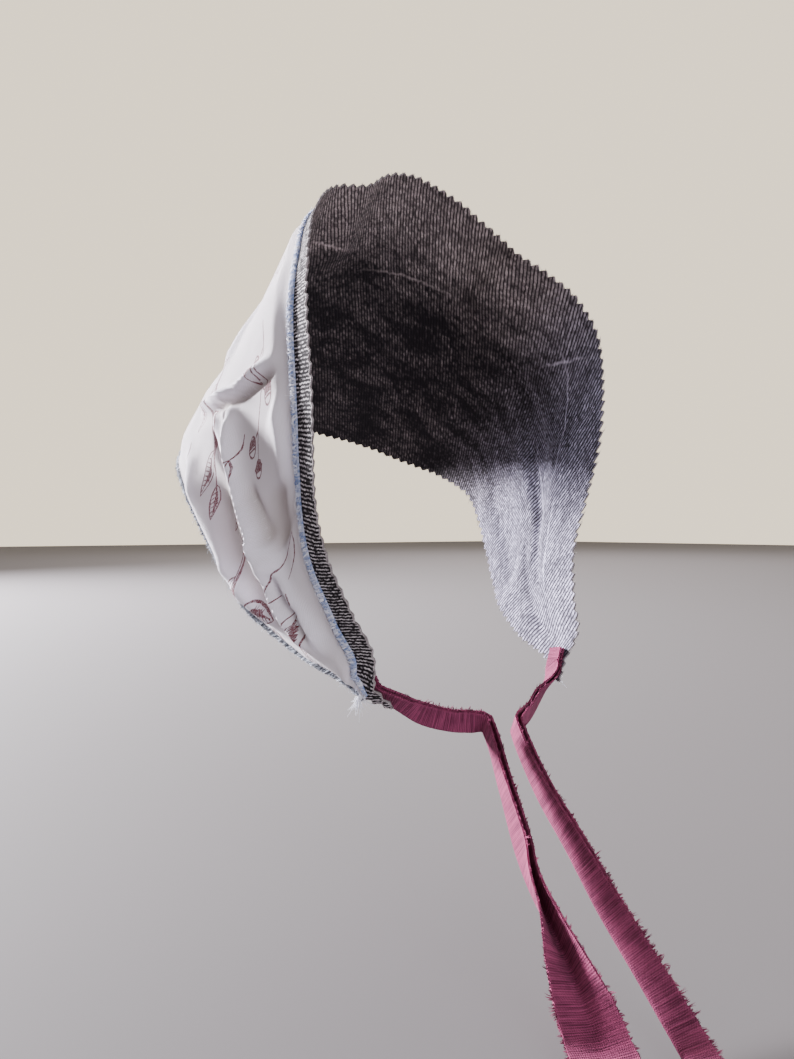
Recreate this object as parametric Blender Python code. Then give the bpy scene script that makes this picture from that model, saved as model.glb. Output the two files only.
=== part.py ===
"""A poke bonnet: two raw-edged layers of cloth bent over the head, with a torn cloth tie at each corner.

Metres, +Z up. The wearer faces -Y and the wearer's right side is -X. The origin is on the inner face of
the crown, where the bonnet sits on the head.

Each layer is a flat leaf of cloth, pointed at both ends, bent into an arch that leans back. In the
tables "out" runs across the head, "down" runs down the arch, square to its lean, and "front" and "back"
run along the lean from the seat to the leaf's two edges. "Girth" runs round the arch from the middle of
the crown to a lower corner, and "depth" runs from the front edge to the back edge.
"""
import math
from typing import NamedTuple

import bmesh
import bpy
from mathutils import Vector

# Driving sizes of the leaf of cloth
HALF_WIDTH = 0.092
ARCH_HEIGHT = 0.250
LEAF_DEPTH = 0.190
LEAN = math.radians(32.7)
CROWN_SINK = 0.024
BACK_FLARE = 0.010

# Driving sizes of the layers and their edges
DENIM_WALL = 0.0010
COTTON_WALL = 0.0010
LAYER_GAP = 0.00035
FRONT_LAP = 0.0125
BACK_LAP = 0.0022
EDGING_WIDTH = 0.0032
EDGING_GAP = 0.0003
TOOTH_PITCH = 0.0060
TOOTH_DEPTH = 0.0026
TEETH_PER_COLUMN = 2
ROWS_OF_CLOTH = 10
FLAT_CORNER = 0.10

# Driving sizes of the ties
TIE_WIDTH = 0.021
TIE_WALL = 0.0010
CREASE_BEND = 0.0031
TIE_GAP = 0.0008
TIE_LEAVE = 0.0018
SEWN_LENGTH = 0.011
TIE_STEP = 0.0062
FREE_RUN = 0.128
FREE_FALL = 0.0740
PULL_ANGLE = math.radians(35.1)
CLOSED_FOLD = math.pi
JAW_LAY = Vector((0.0, -0.3, 1.0))


class Section(NamedTuple):
    """One place on the half arch, from the middle of the crown to a lower corner."""
    out: float      # share of HALF_WIDTH
    down: float     # share of ARCH_HEIGHT
    front: float    # share of LEAF_DEPTH, forward is negative
    back: float     # share of LEAF_DEPTH


LEAF_SECTIONS = (
    Section(out=0.000, down=0.000, front=-0.600, back=0.400),
    Section(out=0.300, down=0.024, front=-0.585, back=0.398),
    Section(out=0.565, down=0.084, front=-0.572, back=0.385),
    Section(out=0.805, down=0.205, front=-0.592, back=0.332),
    Section(out=0.930, down=0.302, front=-0.605, back=0.266),
    Section(out=1.000, down=0.409, front=-0.575, back=0.208),
    Section(out=0.985, down=0.580, front=-0.445, back=0.197),
    Section(out=0.930, down=0.700, front=-0.300, back=0.192),
    Section(out=0.860, down=0.775, front=-0.222, back=0.168),
    Section(out=0.765, down=0.880, front=-0.180, back=0.086),
    Section(out=0.700, down=0.955, front=-0.168, back=0.000),
    Section(out=0.652, down=1.000, front=-0.095, back=-0.032),
)
LINING_TONGUE = Section(out=0.570, down=1.036, front=-0.088, back=-0.072)


class Fold(NamedTuple):
    """One soft fold of the cloth: a straight ridge, or a dent if its height is negative."""
    side: int        # -1 is the wearer's right, 1 the left
    girth_a: float   # share of the half girth
    depth_a: float   # share of the depth
    girth_b: float
    depth_b: float
    spread: float    # half width, share of LEAF_DEPTH
    height: float    # share of LEAF_DEPTH


FOLDS = (
    Fold(side=-1, girth_a=0.12, depth_a=0.00, girth_b=0.11, depth_b=0.20, spread=0.085, height=-0.042),
    Fold(side=1, girth_a=0.11, depth_a=0.00, girth_b=0.09, depth_b=0.20, spread=0.110, height=0.018),
    Fold(side=1, girth_a=0.26, depth_a=0.00, girth_b=0.25, depth_b=0.20, spread=0.070, height=-0.026),
    Fold(side=-1, girth_a=0.36, depth_a=0.18, girth_b=0.36, depth_b=0.45, spread=0.110, height=-0.014),
    Fold(side=-1, girth_a=0.56, depth_a=0.83, girth_b=0.74, depth_b=0.77, spread=0.050, height=0.013),
    Fold(side=-1, girth_a=0.76, depth_a=0.76, girth_b=0.97, depth_b=0.79, spread=0.035, height=0.012),
    Fold(side=-1, girth_a=0.50, depth_a=0.52, girth_b=0.72, depth_b=0.49, spread=0.050, height=0.016),
    Fold(side=-1, girth_a=0.74, depth_a=0.50, girth_b=0.95, depth_b=0.56, spread=0.035, height=0.018),
    Fold(side=-1, girth_a=0.70, depth_a=0.27, girth_b=0.74, depth_b=0.32, spread=0.085, height=-0.020),
    Fold(side=-1, girth_a=0.45, depth_a=0.72, girth_b=0.52, depth_b=0.60, spread=0.060, height=-0.010),
    Fold(side=1, girth_a=0.42, depth_a=0.40, girth_b=0.66, depth_b=0.52, spread=0.065, height=0.014),
    Fold(side=1, girth_a=0.70, depth_a=0.52, girth_b=0.95, depth_b=0.62, spread=0.045, height=0.014),
    Fold(side=1, girth_a=0.52, depth_a=0.80, girth_b=0.80, depth_b=0.74, spread=0.060, height=0.012),
    Fold(side=1, girth_a=0.62, depth_a=0.28, girth_b=0.70, depth_b=0.34, spread=0.095, height=-0.016),
)


class JawPlace(NamedTuple):
    """One place on a tie between its tongue and the chin, in shares of the way."""
    across: float
    forward: float
    drop: float


JAW_PLACES = (
    JawPlace(across=0.30, forward=0.28, drop=0.66),
    JawPlace(across=0.62, forward=0.62, drop=0.95),
    JawPlace(across=0.86, forward=0.86, drop=1.00),
)


class FreePlace(NamedTuple):
    """One place on a tie's free end, from the chin to the cut end."""
    along: float     # share of FREE_RUN
    fall: float      # share of FREE_FALL
    drift: float     # share of the tie's own drift
    tilt: float      # degrees that the strip is turned edge-on
    fold: float      # degrees that the strip is folded over at its crease


RIGHT_PLACES = (
    FreePlace(along=0.00, fall=0.00, drift=0.00, tilt=82, fold=176),
    FreePlace(along=0.16, fall=0.27, drift=0.20, tilt=76, fold=176),
    FreePlace(along=0.32, fall=0.50, drift=0.33, tilt=66, fold=176),
    FreePlace(along=0.43, fall=0.61, drift=0.46, tilt=82, fold=172),
    FreePlace(along=0.53, fall=0.70, drift=0.62, tilt=84, fold=156),
    FreePlace(along=0.66, fall=0.82, drift=0.81, tilt=70, fold=100),
    FreePlace(along=0.82, fall=0.97, drift=0.95, tilt=16, fold=20),
    FreePlace(along=1.00, fall=1.00, drift=1.07, tilt=0, fold=8),
)
LEFT_PLACES = (
    FreePlace(along=0.00, fall=0.00, drift=0.00, tilt=80, fold=176),
    FreePlace(along=0.16, fall=0.27, drift=0.20, tilt=72, fold=176),
    FreePlace(along=0.33, fall=0.48, drift=0.44, tilt=60, fold=176),
    FreePlace(along=0.50, fall=0.67, drift=0.64, tilt=46, fold=174),
    FreePlace(along=0.67, fall=0.82, drift=0.84, tilt=32, fold=172),
    FreePlace(along=0.84, fall=0.94, drift=1.00, tilt=18, fold=168),
    FreePlace(along=1.00, fall=0.97, drift=1.06, tilt=8, fold=164),
)


class Tie(NamedTuple):
    """One tie and the place under the chin where it turns down."""
    name: str
    side: int
    chin_out: float       # from the centre plane, share of HALF_WIDTH
    chin_forward: float   # ahead of the lining's tongue, share of LEAF_DEPTH
    chin_drop: float      # below the lining's tongue, share of ARCH_HEIGHT
    drift: float          # share of FREE_RUN
    free_places: tuple


TIES = (
    Tie(name="tie_right", side=-1, chin_out=-0.159, chin_forward=0.123, chin_drop=0.048,
        drift=0.197, free_places=RIGHT_PLACES),
    Tie(name="tie_left", side=1, chin_out=-0.017, chin_forward=0.150, chin_drop=0.056,
        drift=0.273, free_places=LEFT_PLACES),
)


def clear_scene():
    """Remove whatever the scene holds."""
    for item in list(bpy.data.objects):
        bpy.data.objects.remove(item)


def cloth_material(name, color, roughness):
    """A plain cloth finish."""
    material = bpy.data.materials.new(name)
    material.use_nodes = True
    shader = material.node_tree.nodes["Principled BSDF"]
    shader.inputs["Base Color"].default_value = (*color, 1.0)
    shader.inputs["Roughness"].default_value = roughness
    shader.inputs["Metallic"].default_value = 0.0
    return material


def smooth_step(value):
    """0 below 0, 1 above 1, with a soft start and end between."""
    value = min(max(value, 0.0), 1.0)
    return value * value * (3.0 - 2.0 * value)


def bell(distance, spread):
    """1 at no distance, fading over the spread."""
    return math.exp(-(distance / spread) ** 2)


def curve_through(rows, stops, place):
    """A smooth curve through rows of numbers that stand at the given stops, read at one place."""
    last = len(rows) - 1
    index = 0
    while index < last - 1 and stops[index + 1] < place:
        index += 1
    span = stops[index + 1] - stops[index]
    share = (place - stops[index]) / span

    def slope(at):
        low, high = max(at - 1, 0), min(at + 1, last)
        run = stops[high] - stops[low]
        return [(b - a) / run for a, b in zip(rows[low], rows[high])]

    start_weight = 2 * share ** 3 - 3 * share ** 2 + 1
    start_slope_weight = (share ** 3 - 2 * share ** 2 + share) * span
    end_slope_weight = (share ** 3 - share ** 2) * span
    return [start_weight * a + start_slope_weight * da + (1 - start_weight) * b + end_slope_weight * db
            for a, b, da, db in zip(rows[index], rows[index + 1], slope(index), slope(index + 1))]


def running_length(rows, used):
    """Length run along the first few numbers of the rows, at each row."""
    stops = [0.0]
    for low, high in zip(rows, rows[1:]):
        stops.append(stops[-1] + math.dist(low[:used], high[:used]))
    return stops


class Column(NamedTuple):
    """One column of the leaf from front edge to back edge, in metres."""
    girth: float         # signed, from the middle of the crown
    out: float           # signed
    up: float            # 0 at the top of the arch
    front: float
    back: float
    front_slant: float   # how much longer than its girth the front edge is here
    back_slant: float

    @property
    def width(self):
        """From front edge to back edge."""
        return self.back - self.front


def section_row(section):
    """A section's sizes in metres."""
    return (section.out * HALF_WIDTH, -section.down * ARCH_HEIGHT,
            section.front * LEAF_DEPTH, section.back * LEAF_DEPTH)


def half_columns():
    """Even columns of one half of the leaf, from the middle to the corner."""
    rows = [section_row(section) for section in LEAF_SECTIONS]
    rows.insert(0, (-rows[1][0], *rows[1][1:]))
    stops = running_length(rows, 3)
    half_edge = stops[-1] - stops[1]
    count = max(8, round(half_edge / (TOOTH_PITCH * TEETH_PER_COLUMN)))
    even = [curve_through(rows, stops, stops[1] + half_edge * index / count) for index in range(count + 1)]
    girths = running_length(even, 2)
    columns = []
    for index, (girth, row) in enumerate(zip(girths, even)):
        low, high = max(index - 1, 0), min(index + 1, count)
        run = girths[high] - girths[low]
        front_slant = math.hypot(1.0, (even[high][2] - even[low][2]) / run)
        back_slant = math.hypot(1.0, (even[high][3] - even[low][3]) / run)
        columns.append(Column(girth, *row, front_slant, back_slant))
    return columns


def tongue_column(corner):
    """The tip of the lining's tongue, past a corner column."""
    row = section_row(LINING_TONGUE)
    reach = math.dist(row[:2], (corner.out, corner.up))
    return Column(corner.girth + reach, *row, corner.front_slant, corner.back_slant)


def mirrored(column):
    """The same column on the wearer's right side."""
    return column._replace(girth=-column.girth, out=-column.out)


def stations(column):
    """Distances from the front edge at which every layer has a row of points."""
    front_lap = min(FRONT_LAP * column.front_slant, 0.55 * column.width)
    back_lap = min(BACK_LAP * column.back_slant, 0.10 * column.width)
    cloth = column.width - front_lap - back_lap
    front_edging = min((EDGING_WIDTH + EDGING_GAP) * column.front_slant, 0.30 * cloth)
    back_edging = min((EDGING_WIDTH + EDGING_GAP) * column.back_slant, 0.30 * cloth)
    first, plain = front_lap + front_edging, cloth - front_edging - back_edging
    rows = [0.0, front_lap]
    rows += [first + plain * index / ROWS_OF_CLOTH for index in range(ROWS_OF_CLOTH + 1)]
    return rows + [column.width - back_lap, column.width]


def fold_lift(column, depth, half_girth):
    """How far the soft folds lift the cloth; they fade out towards the sewn corners."""
    side = -1 if column.girth < 0 else 1
    here = Vector((abs(column.girth), depth))
    loose = smooth_step((1.0 - abs(column.girth) / half_girth) / FLAT_CORNER)
    lift = 0.0
    for fold in FOLDS:
        start = Vector((fold.girth_a * half_girth, fold.depth_a * column.width))
        end = Vector((fold.girth_b * half_girth, fold.depth_b * column.width))
        line = end - start
        share = (here - start).dot(line) / line.length_squared
        nearest = start + line * min(max(share, 0.0), 1.0)
        if fold.side == side:
            lift += fold.height * LEAF_DEPTH * bell((here - nearest).length, fold.spread * LEAF_DEPTH)
    return lift * loose


def bent_point(column, depth, half_girth):
    """The lining's inner face at one distance from the front edge, before the folds lift it."""
    share = depth / column.width
    girth_share = abs(column.girth) / half_girth
    sink = CROWN_SINK * smooth_step(share / 0.7) * bell(girth_share, 0.30)
    flare = BACK_FLARE * smooth_step(share) * bell(girth_share - 0.42, 0.22)
    out = column.out + math.copysign(flare, column.girth) * (column.girth != 0)
    along = column.front + depth
    up = column.up - sink
    y = along * math.cos(LEAN) + up * math.sin(LEAN)
    z = -along * math.sin(LEAN) + up * math.cos(LEAN)
    return Vector((out, y, z))


class Cage:
    """Rows and columns of points on the lining's inner face, with the outward direction at each."""

    def __init__(self):
        half = half_columns()
        self.half_girth = half[-1].girth
        half.append(tongue_column(half[-1]))
        self.columns = [mirrored(column) for column in half[:0:-1]] + half
        middle = half[0]
        seat = bent_point(middle, -middle.front, self.half_girth)
        self.points = [[bent_point(column, depth, self.half_girth) - seat for depth in stations(column)]
                       for column in self.columns]
        self.last_row = len(self.points[0]) - 1
        self.last_column = len(self.columns) - 1
        self.normals = [[self.outward(i, j) for j in range(self.last_row + 1)]
                        for i in range(self.last_column + 1)]
        for i, column in enumerate(self.columns):
            for j, depth in enumerate(stations(column)):
                self.points[i][j] += self.normals[i][j] * fold_lift(column, depth, self.half_girth)

    def outward(self, i, j):
        """The direction square to the cloth at one point, away from the head."""
        across = self.points[min(i + 1, self.last_column)][j] - self.points[max(i - 1, 0)][j]
        along = self.points[i][min(j + 1, self.last_row)] - self.points[i][max(j - 1, 0)]
        return across.cross(along).normalized()

    def at(self, i, j, height):
        """A point at a height above the inner face; i and j may lie between columns and rows."""
        i0, j0 = min(int(i), self.last_column - 1), min(int(j), self.last_row - 1)
        place = Vector()
        for di, share_i in ((0, 1.0 - (i - i0)), (1, i - i0)):
            for dj, share_j in ((0, 1.0 - (j - j0)), (1, j - j0)):
                point = self.points[i0 + di][j0 + dj] + self.normals[i0 + di][j0 + dj] * height
                place += point * (share_i * share_j)
        return place

    def line(self, row, height):
        """One row of the cover or its edgings, which stop at the corners and leave the tongues bare."""
        return [self.at(i, row, height) for i in range(1, self.last_column)]

    def pinked_line(self, row, inward, height):
        """The lining's saw-toothed edge along an outer row, each tooth a point between two notches."""
        steps = 2 * TEETH_PER_COLUMN
        line = []
        for step in range(self.last_column * steps + 1):
            i = step / steps
            edge = self.at(i, row, height)
            inner = self.at(i, row + inward, height)
            notch = min(TOOTH_DEPTH / (edge - inner).length, 0.5) if step % 2 == 0 else 0.0
            line.append(edge.lerp(inner, notch))
        return line


def mesh_object(name, work, material):
    """An object in the scene from a finished bmesh, with its faces turned outward."""
    bmesh.ops.recalc_face_normals(work, faces=work.faces)
    mesh = bpy.data.meshes.new(name)
    work.to_mesh(mesh)
    work.free()
    mesh.materials.append(material)
    mesh.shade_smooth()
    mesh.set_sharp_from_angle(angle=math.radians(50))
    item = bpy.data.objects.new(name, mesh)
    bpy.context.scene.collection.objects.link(item)
    return item


def add_strip(work, low, high):
    """Faces between two lines of vertices, where one line may have a whole number of times more steps."""
    steps = min(len(low), len(high)) - 1
    low_step, high_step = (len(low) - 1) // steps, (len(high) - 1) // steps
    for index in range(steps):
        low_part = low[index * low_step:(index + 1) * low_step + 1]
        high_part = high[index * high_step:(index + 1) * high_step + 1]
        work.faces.new(low_part + high_part[::-1])


def border_of(lines):
    """The vertices round the outside of a grid, in order."""
    return (lines[0] + [line[-1] for line in lines[1:-1]] + lines[-1][::-1]
            + [line[0] for line in lines[-2:0:-1]])


def slab(name, inner_lines, outer_lines, material):
    """A closed sheet of cloth between two grids of points, each a list of lines."""
    work = bmesh.new()
    sides = [[[work.verts.new(point) for point in line] for line in lines]
             for lines in (inner_lines, outer_lines)]
    for lines in sides:
        for low, high in zip(lines, lines[1:]):
            add_strip(work, low, high)
    inner, outer = (border_of(lines) for lines in sides)
    add_strip(work, inner + inner[:1], outer + outer[:1])
    return mesh_object(name, work, material)


def build_lining(cage, material):
    """The denim layer, pinked along both edges."""
    grids = []
    for height in (0.0, DENIM_WALL):
        middle = [[cage.at(i, row, height) for i in range(cage.last_column + 1)]
                  for row in range(1, cage.last_row)]
        front = cage.pinked_line(0, 1, height)
        back = cage.pinked_line(cage.last_row, -1, height)
        grids.append([front, *middle, back])
    return slab("denim_lining", *grids, material)


def build_over_lining(name, cage, rows, material):
    """A layer that lies on the lining along the given rows."""
    low = DENIM_WALL + LAYER_GAP
    grids = [[cage.line(row, height) for row in rows] for height in (low, low + COTTON_WALL)]
    return slab(name, *grids, material)


def build_cover(cage, cotton, front_thread, back_thread):
    """The printed layer and the overcast thread along its two raw edges."""
    first, last = 2, cage.last_row - 2
    thread = EDGING_WIDTH / (EDGING_WIDTH + EDGING_GAP)
    build_over_lining("print_cover", cage, range(first, last + 1), cotton)
    build_over_lining("front_edging", cage, (first - 1, first - 1 + thread), front_thread)
    build_over_lining("back_edging", cage, (last + 1 - thread, last + 1), back_thread)


class StripPlace(NamedTuple):
    """One place on a tie: its crease, the way its width lies from the crease, and its fold."""
    crease: Vector
    lay: Vector
    fold: float      # radians

    def numbers(self):
        """The place as one row for a smooth curve."""
        return (*self.crease, *self.lay, self.fold)


def sewn_places(cage, side):
    """The stretch of a tie that is sewn inside its corner, and the point where it leaves the corner."""
    tip = cage.last_column if side > 0 else 0
    corner, next_in = tip - side, tip - 2 * side
    middle = cage.last_row / 2
    inward = CREASE_BEND / math.pi + TIE_WALL / 2 + TIE_GAP
    lay = (cage.at(corner, 0, 0.0) - cage.at(corner, cage.last_row, 0.0)).normalized()
    creases = [cage.at(column, middle, -inward - leave) - lay * TIE_WIDTH / 4
               for column, leave in ((next_in, 0.0), (corner, TIE_LEAVE / 3), (tip, TIE_LEAVE))]
    creases[0] = creases[1] + (creases[0] - creases[1]).normalized() * SEWN_LENGTH
    return [StripPlace(crease, lay, CLOSED_FOLD) for crease in creases]


def jaw_places(tongue, tie):
    """The stretch of a tie that runs under the jaw, ending where it turns down."""
    chin = Vector((tie.chin_out * HALF_WIDTH, tongue.y - tie.chin_forward * LEAF_DEPTH,
                   tongue.z - tie.chin_drop * ARCH_HEIGHT))
    way = chin - tongue
    places = []
    for row in JAW_PLACES:
        crease = tongue + Vector((way.x * row.across, way.y * row.forward, way.z * row.drop))
        places.append(StripPlace(crease, JAW_LAY, CLOSED_FOLD))
    return chin, places


def free_places(chin, tie):
    """The free end of a tie, which is pulled forward and to the wearer's right as it falls."""
    pull = Vector((-math.sin(PULL_ANGLE), -math.cos(PULL_ANGLE), 0.0))
    sideways = Vector((math.cos(PULL_ANGLE), -math.sin(PULL_ANGLE), 0.0))
    facing = (pull * FREE_RUN - Vector((0.0, 0.0, FREE_FALL))).normalized().cross(sideways)
    places = []
    for row in tie.free_places:
        crease = chin + pull * (row.along * FREE_RUN) + sideways * (row.drift * tie.drift * FREE_RUN)
        crease.z -= row.fall * FREE_FALL
        tilt = math.radians(row.tilt)
        lay = sideways * math.cos(tilt) + facing * math.sin(tilt)
        places.append(StripPlace(crease, lay, math.radians(row.fold)))
    return places


def folded_profile(fold):
    """The strip's folded cross-section about its crease: for each point, across, up and its bend."""
    half, bend = TIE_WIDTH / 2, CREASE_BEND / 2
    stops = [-half, -bend, -bend / 2, 0.0, bend / 2, bend, half]
    across, up, turned = [0.0], [0.0], []
    for low, high in zip(stops, stops[1:]):
        middle = (low + high) / 2
        angle = fold * min(max((middle + bend) / (2 * bend), 0.0), 1.0)
        across.append(across[-1] - math.cos(angle) * (high - low))
        up.append(up[-1] + math.sin(angle) * (high - low))
    for stop in stops:
        turned.append(fold * min(max((stop + bend) / (2 * bend), 0.0), 1.0))
    crease = len(stops) // 2
    return [(a - across[crease], u - up[crease], t) for a, u, t in zip(across, up, turned)]


def build_tie(cage, tie, material):
    """One torn strip, folded along its crease, from inside its corner to its cut end."""
    places = sewn_places(cage, tie.side)
    chin, under_jaw = jaw_places(places[-1].crease, tie)
    places += under_jaw + free_places(chin, tie)
    rows = [place.numbers() for place in places]
    stops = running_length(rows, 3)
    count = round(stops[-1] / TIE_STEP)
    path = [curve_through(rows, stops, stops[-1] * index / count) for index in range(count + 1)]
    creases = [Vector(row[:3]) for row in path]
    near_lines, far_lines = [], []
    for index, row in enumerate(path):
        tangent = (creases[min(index + 1, count)] - creases[max(index - 1, 0)]).normalized()
        lay = Vector(row[3:6])
        lay = (lay - tangent * lay.dot(tangent)).normalized()
        facing = tangent.cross(lay) * -tie.side
        near, far = [], []
        for across, up, turned in folded_profile(row[6]):
            middle = creases[index] + lay * across + facing * up
            square = lay * math.sin(turned) + facing * math.cos(turned)
            near.append(middle - square * TIE_WALL / 2)
            far.append(middle + square * TIE_WALL / 2)
        near_lines.append(near)
        far_lines.append(far)
    return slab(tie.name, near_lines, far_lines, material)


def main():
    """Build the bonnet."""
    clear_scene()
    denim = cloth_material("washed_denim", (0.09, 0.08, 0.09), 0.92)
    cotton = cloth_material("printed_cotton", (0.58, 0.55, 0.60), 0.85)
    pale_thread = cloth_material("pale_blue_thread", (0.42, 0.50, 0.66), 0.80)
    grey_thread = cloth_material("grey_blue_thread", (0.22, 0.27, 0.36), 0.80)
    burgundy = cloth_material("burgundy_cotton", (0.19, 0.03, 0.09), 0.88)
    cage = Cage()
    build_lining(cage, denim)
    build_cover(cage, cotton, pale_thread, grey_thread)
    for tie in TIES:
        build_tie(cage, tie, burgundy)


if __name__ == "__main__":
    main()
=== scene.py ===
"""The looks of a poke bonnet: its cloth, print, thread and ties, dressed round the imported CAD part.

Metres, +Z up, in the part's own frame: the wearer faces -Y, the wearer's right side is -X, and the origin
is on the inner face of the crown. Each layer of cloth is a flat leaf bent over the head. "Girth" runs
round the arch from the middle of the crown to a lower corner, and "depth" from the front edge to the back
edge, so a point of the flat cloth is (girth, depth), and its height is how far it lies above the denim's
inner face.
"""

import logging
import math
from dataclasses import dataclass
from enum import Enum
from typing import Callable, NamedTuple, Sequence

import bpy
import numpy as np
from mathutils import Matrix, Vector, geometry


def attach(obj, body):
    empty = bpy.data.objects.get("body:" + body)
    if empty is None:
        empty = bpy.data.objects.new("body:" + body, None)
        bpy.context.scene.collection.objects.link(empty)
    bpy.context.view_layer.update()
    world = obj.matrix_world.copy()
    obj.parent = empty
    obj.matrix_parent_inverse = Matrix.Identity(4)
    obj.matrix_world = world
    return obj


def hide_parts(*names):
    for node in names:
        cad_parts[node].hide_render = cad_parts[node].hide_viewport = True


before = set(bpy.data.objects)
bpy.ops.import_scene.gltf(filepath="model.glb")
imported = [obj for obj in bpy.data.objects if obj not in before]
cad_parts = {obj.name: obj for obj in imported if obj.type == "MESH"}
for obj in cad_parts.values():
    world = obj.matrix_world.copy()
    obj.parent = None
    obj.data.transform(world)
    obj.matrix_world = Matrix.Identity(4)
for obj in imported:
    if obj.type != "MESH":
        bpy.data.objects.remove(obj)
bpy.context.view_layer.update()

logging.basicConfig(level=logging.INFO, format="%(message)s")
log = logging.getLogger("bonnet")

Array = np.ndarray
Line = Callable[[Array], Array]
Socket = bpy.types.NodeSocket
Color = tuple[float, float, float]


def paint(color: Color) -> tuple[float, float, float, float]:
    """A colour as a shader socket takes it."""
    return (*color, 1.0)


class Section(NamedTuple):
    """One place on the half arch, from the middle of the crown to a lower corner, in shares."""
    out: float
    down: float
    front: float
    back: float


class Fold(NamedTuple):
    """One soft fold, a straight ridge or, with a negative height, a dent, in shares of the leaf."""
    side: int
    girth_a: float
    depth_a: float
    girth_b: float
    depth_b: float
    spread: float
    height: float


class Crease(NamedTuple):
    """One long crease of the cotton: its side, spread and height in metres, and its places in shares."""
    side: int
    spread: float
    height: float
    places: tuple[tuple[float, float], ...]


LEAF_SECTIONS = (
    Section(0.000, 0.000, -0.600, 0.400), Section(0.300, 0.024, -0.585, 0.398),
    Section(0.565, 0.084, -0.572, 0.385), Section(0.805, 0.205, -0.592, 0.332),
    Section(0.930, 0.302, -0.605, 0.266), Section(1.000, 0.409, -0.575, 0.208),
    Section(0.985, 0.580, -0.445, 0.197), Section(0.930, 0.700, -0.300, 0.192),
    Section(0.860, 0.775, -0.222, 0.168), Section(0.765, 0.880, -0.180, 0.086),
    Section(0.700, 0.955, -0.168, 0.000), Section(0.652, 1.000, -0.095, -0.032),
)
LINING_TONGUE = Section(0.570, 1.036, -0.088, -0.072)

FOLDS = (
    Fold(-1, 0.12, 0.00, 0.11, 0.20, 0.085, -0.042), Fold(1, 0.11, 0.00, 0.09, 0.20, 0.110, 0.018),
    Fold(1, 0.26, 0.00, 0.25, 0.20, 0.070, -0.026), Fold(-1, 0.36, 0.18, 0.36, 0.45, 0.110, -0.014),
    Fold(-1, 0.56, 0.83, 0.74, 0.77, 0.050, 0.013), Fold(-1, 0.76, 0.76, 0.97, 0.79, 0.035, 0.012),
    Fold(-1, 0.50, 0.52, 0.72, 0.49, 0.050, 0.016), Fold(-1, 0.74, 0.50, 0.95, 0.56, 0.035, 0.018),
    Fold(-1, 0.70, 0.27, 0.74, 0.32, 0.085, -0.020), Fold(-1, 0.45, 0.72, 0.52, 0.60, 0.060, -0.010),
    Fold(1, 0.42, 0.40, 0.66, 0.52, 0.065, 0.014), Fold(1, 0.70, 0.52, 0.95, 0.62, 0.045, 0.014),
    Fold(1, 0.52, 0.80, 0.80, 0.74, 0.060, 0.012), Fold(1, 0.62, 0.28, 0.70, 0.34, 0.095, -0.016),
)

# Creases and narrow ridges too fine for the CAD solids
CREASES = (
    Fold(-1, 0.51, 0.80, 0.70, 0.83, 0.024, 0.0060), Fold(-1, 0.70, 0.83, 0.80, 0.78, 0.022, 0.0050),
    Fold(-1, 0.56, 0.72, 0.72, 0.76, 0.024, -0.0060), Fold(-1, 0.55, 0.485, 0.72, 0.505, 0.017, 0.0085),
    Fold(-1, 0.72, 0.505, 0.88, 0.550, 0.016, 0.0085), Fold(-1, 0.60, 0.560, 0.74, 0.570, 0.020, -0.0090),
    Fold(-1, 0.74, 0.570, 0.86, 0.610, 0.018, -0.0070), Fold(-1, 0.87, 0.550, 0.96, 0.670, 0.012, 0.0050),
    Fold(-1, 0.70, 0.400, 0.735, 0.390, 0.050, -0.0110), Fold(-1, 0.775, 0.470, 0.84, 0.440, 0.018, -0.0070),
    Fold(-1, 0.84, 0.440, 0.895, 0.480, 0.018, -0.0060), Fold(-1, 0.41, 0.700, 0.51, 0.430, 0.020, -0.0050),
    Fold(-1, 0.46, 0.740, 0.55, 0.520, 0.018, 0.0040), Fold(-1, 0.50, 0.490, 0.62, 0.470, 0.024, 0.0050),
    Fold(-1, 0.20, 0.420, 0.34, 0.700, 0.040, 0.0045), Fold(1, 0.50, 0.600, 0.74, 0.560, 0.018, -0.0070),
    Fold(1, 0.53, 0.520, 0.80, 0.500, 0.017, 0.0080), Fold(1, 0.72, 0.640, 0.92, 0.660, 0.016, 0.0060),
    Fold(1, 0.30, 0.700, 0.44, 0.500, 0.026, -0.0050), Fold(1, 0.20, 0.350, 0.36, 0.620, 0.045, 0.0050),
    Fold(1, 0.55, 0.860, 0.74, 0.820, 0.022, 0.0060), Fold(1, 0.44, 0.060, 0.52, 0.330, 0.020, 0.0040),
    Fold(1, 0.58, 0.100, 0.56, 0.420, 0.018, 0.0045), Fold(1, 0.12, 0.500, 0.10, 0.820, 0.040, -0.0045),
)

# Share of a crease's length over which each of its ends fades out
CREASE_FADE = 0.22

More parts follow.
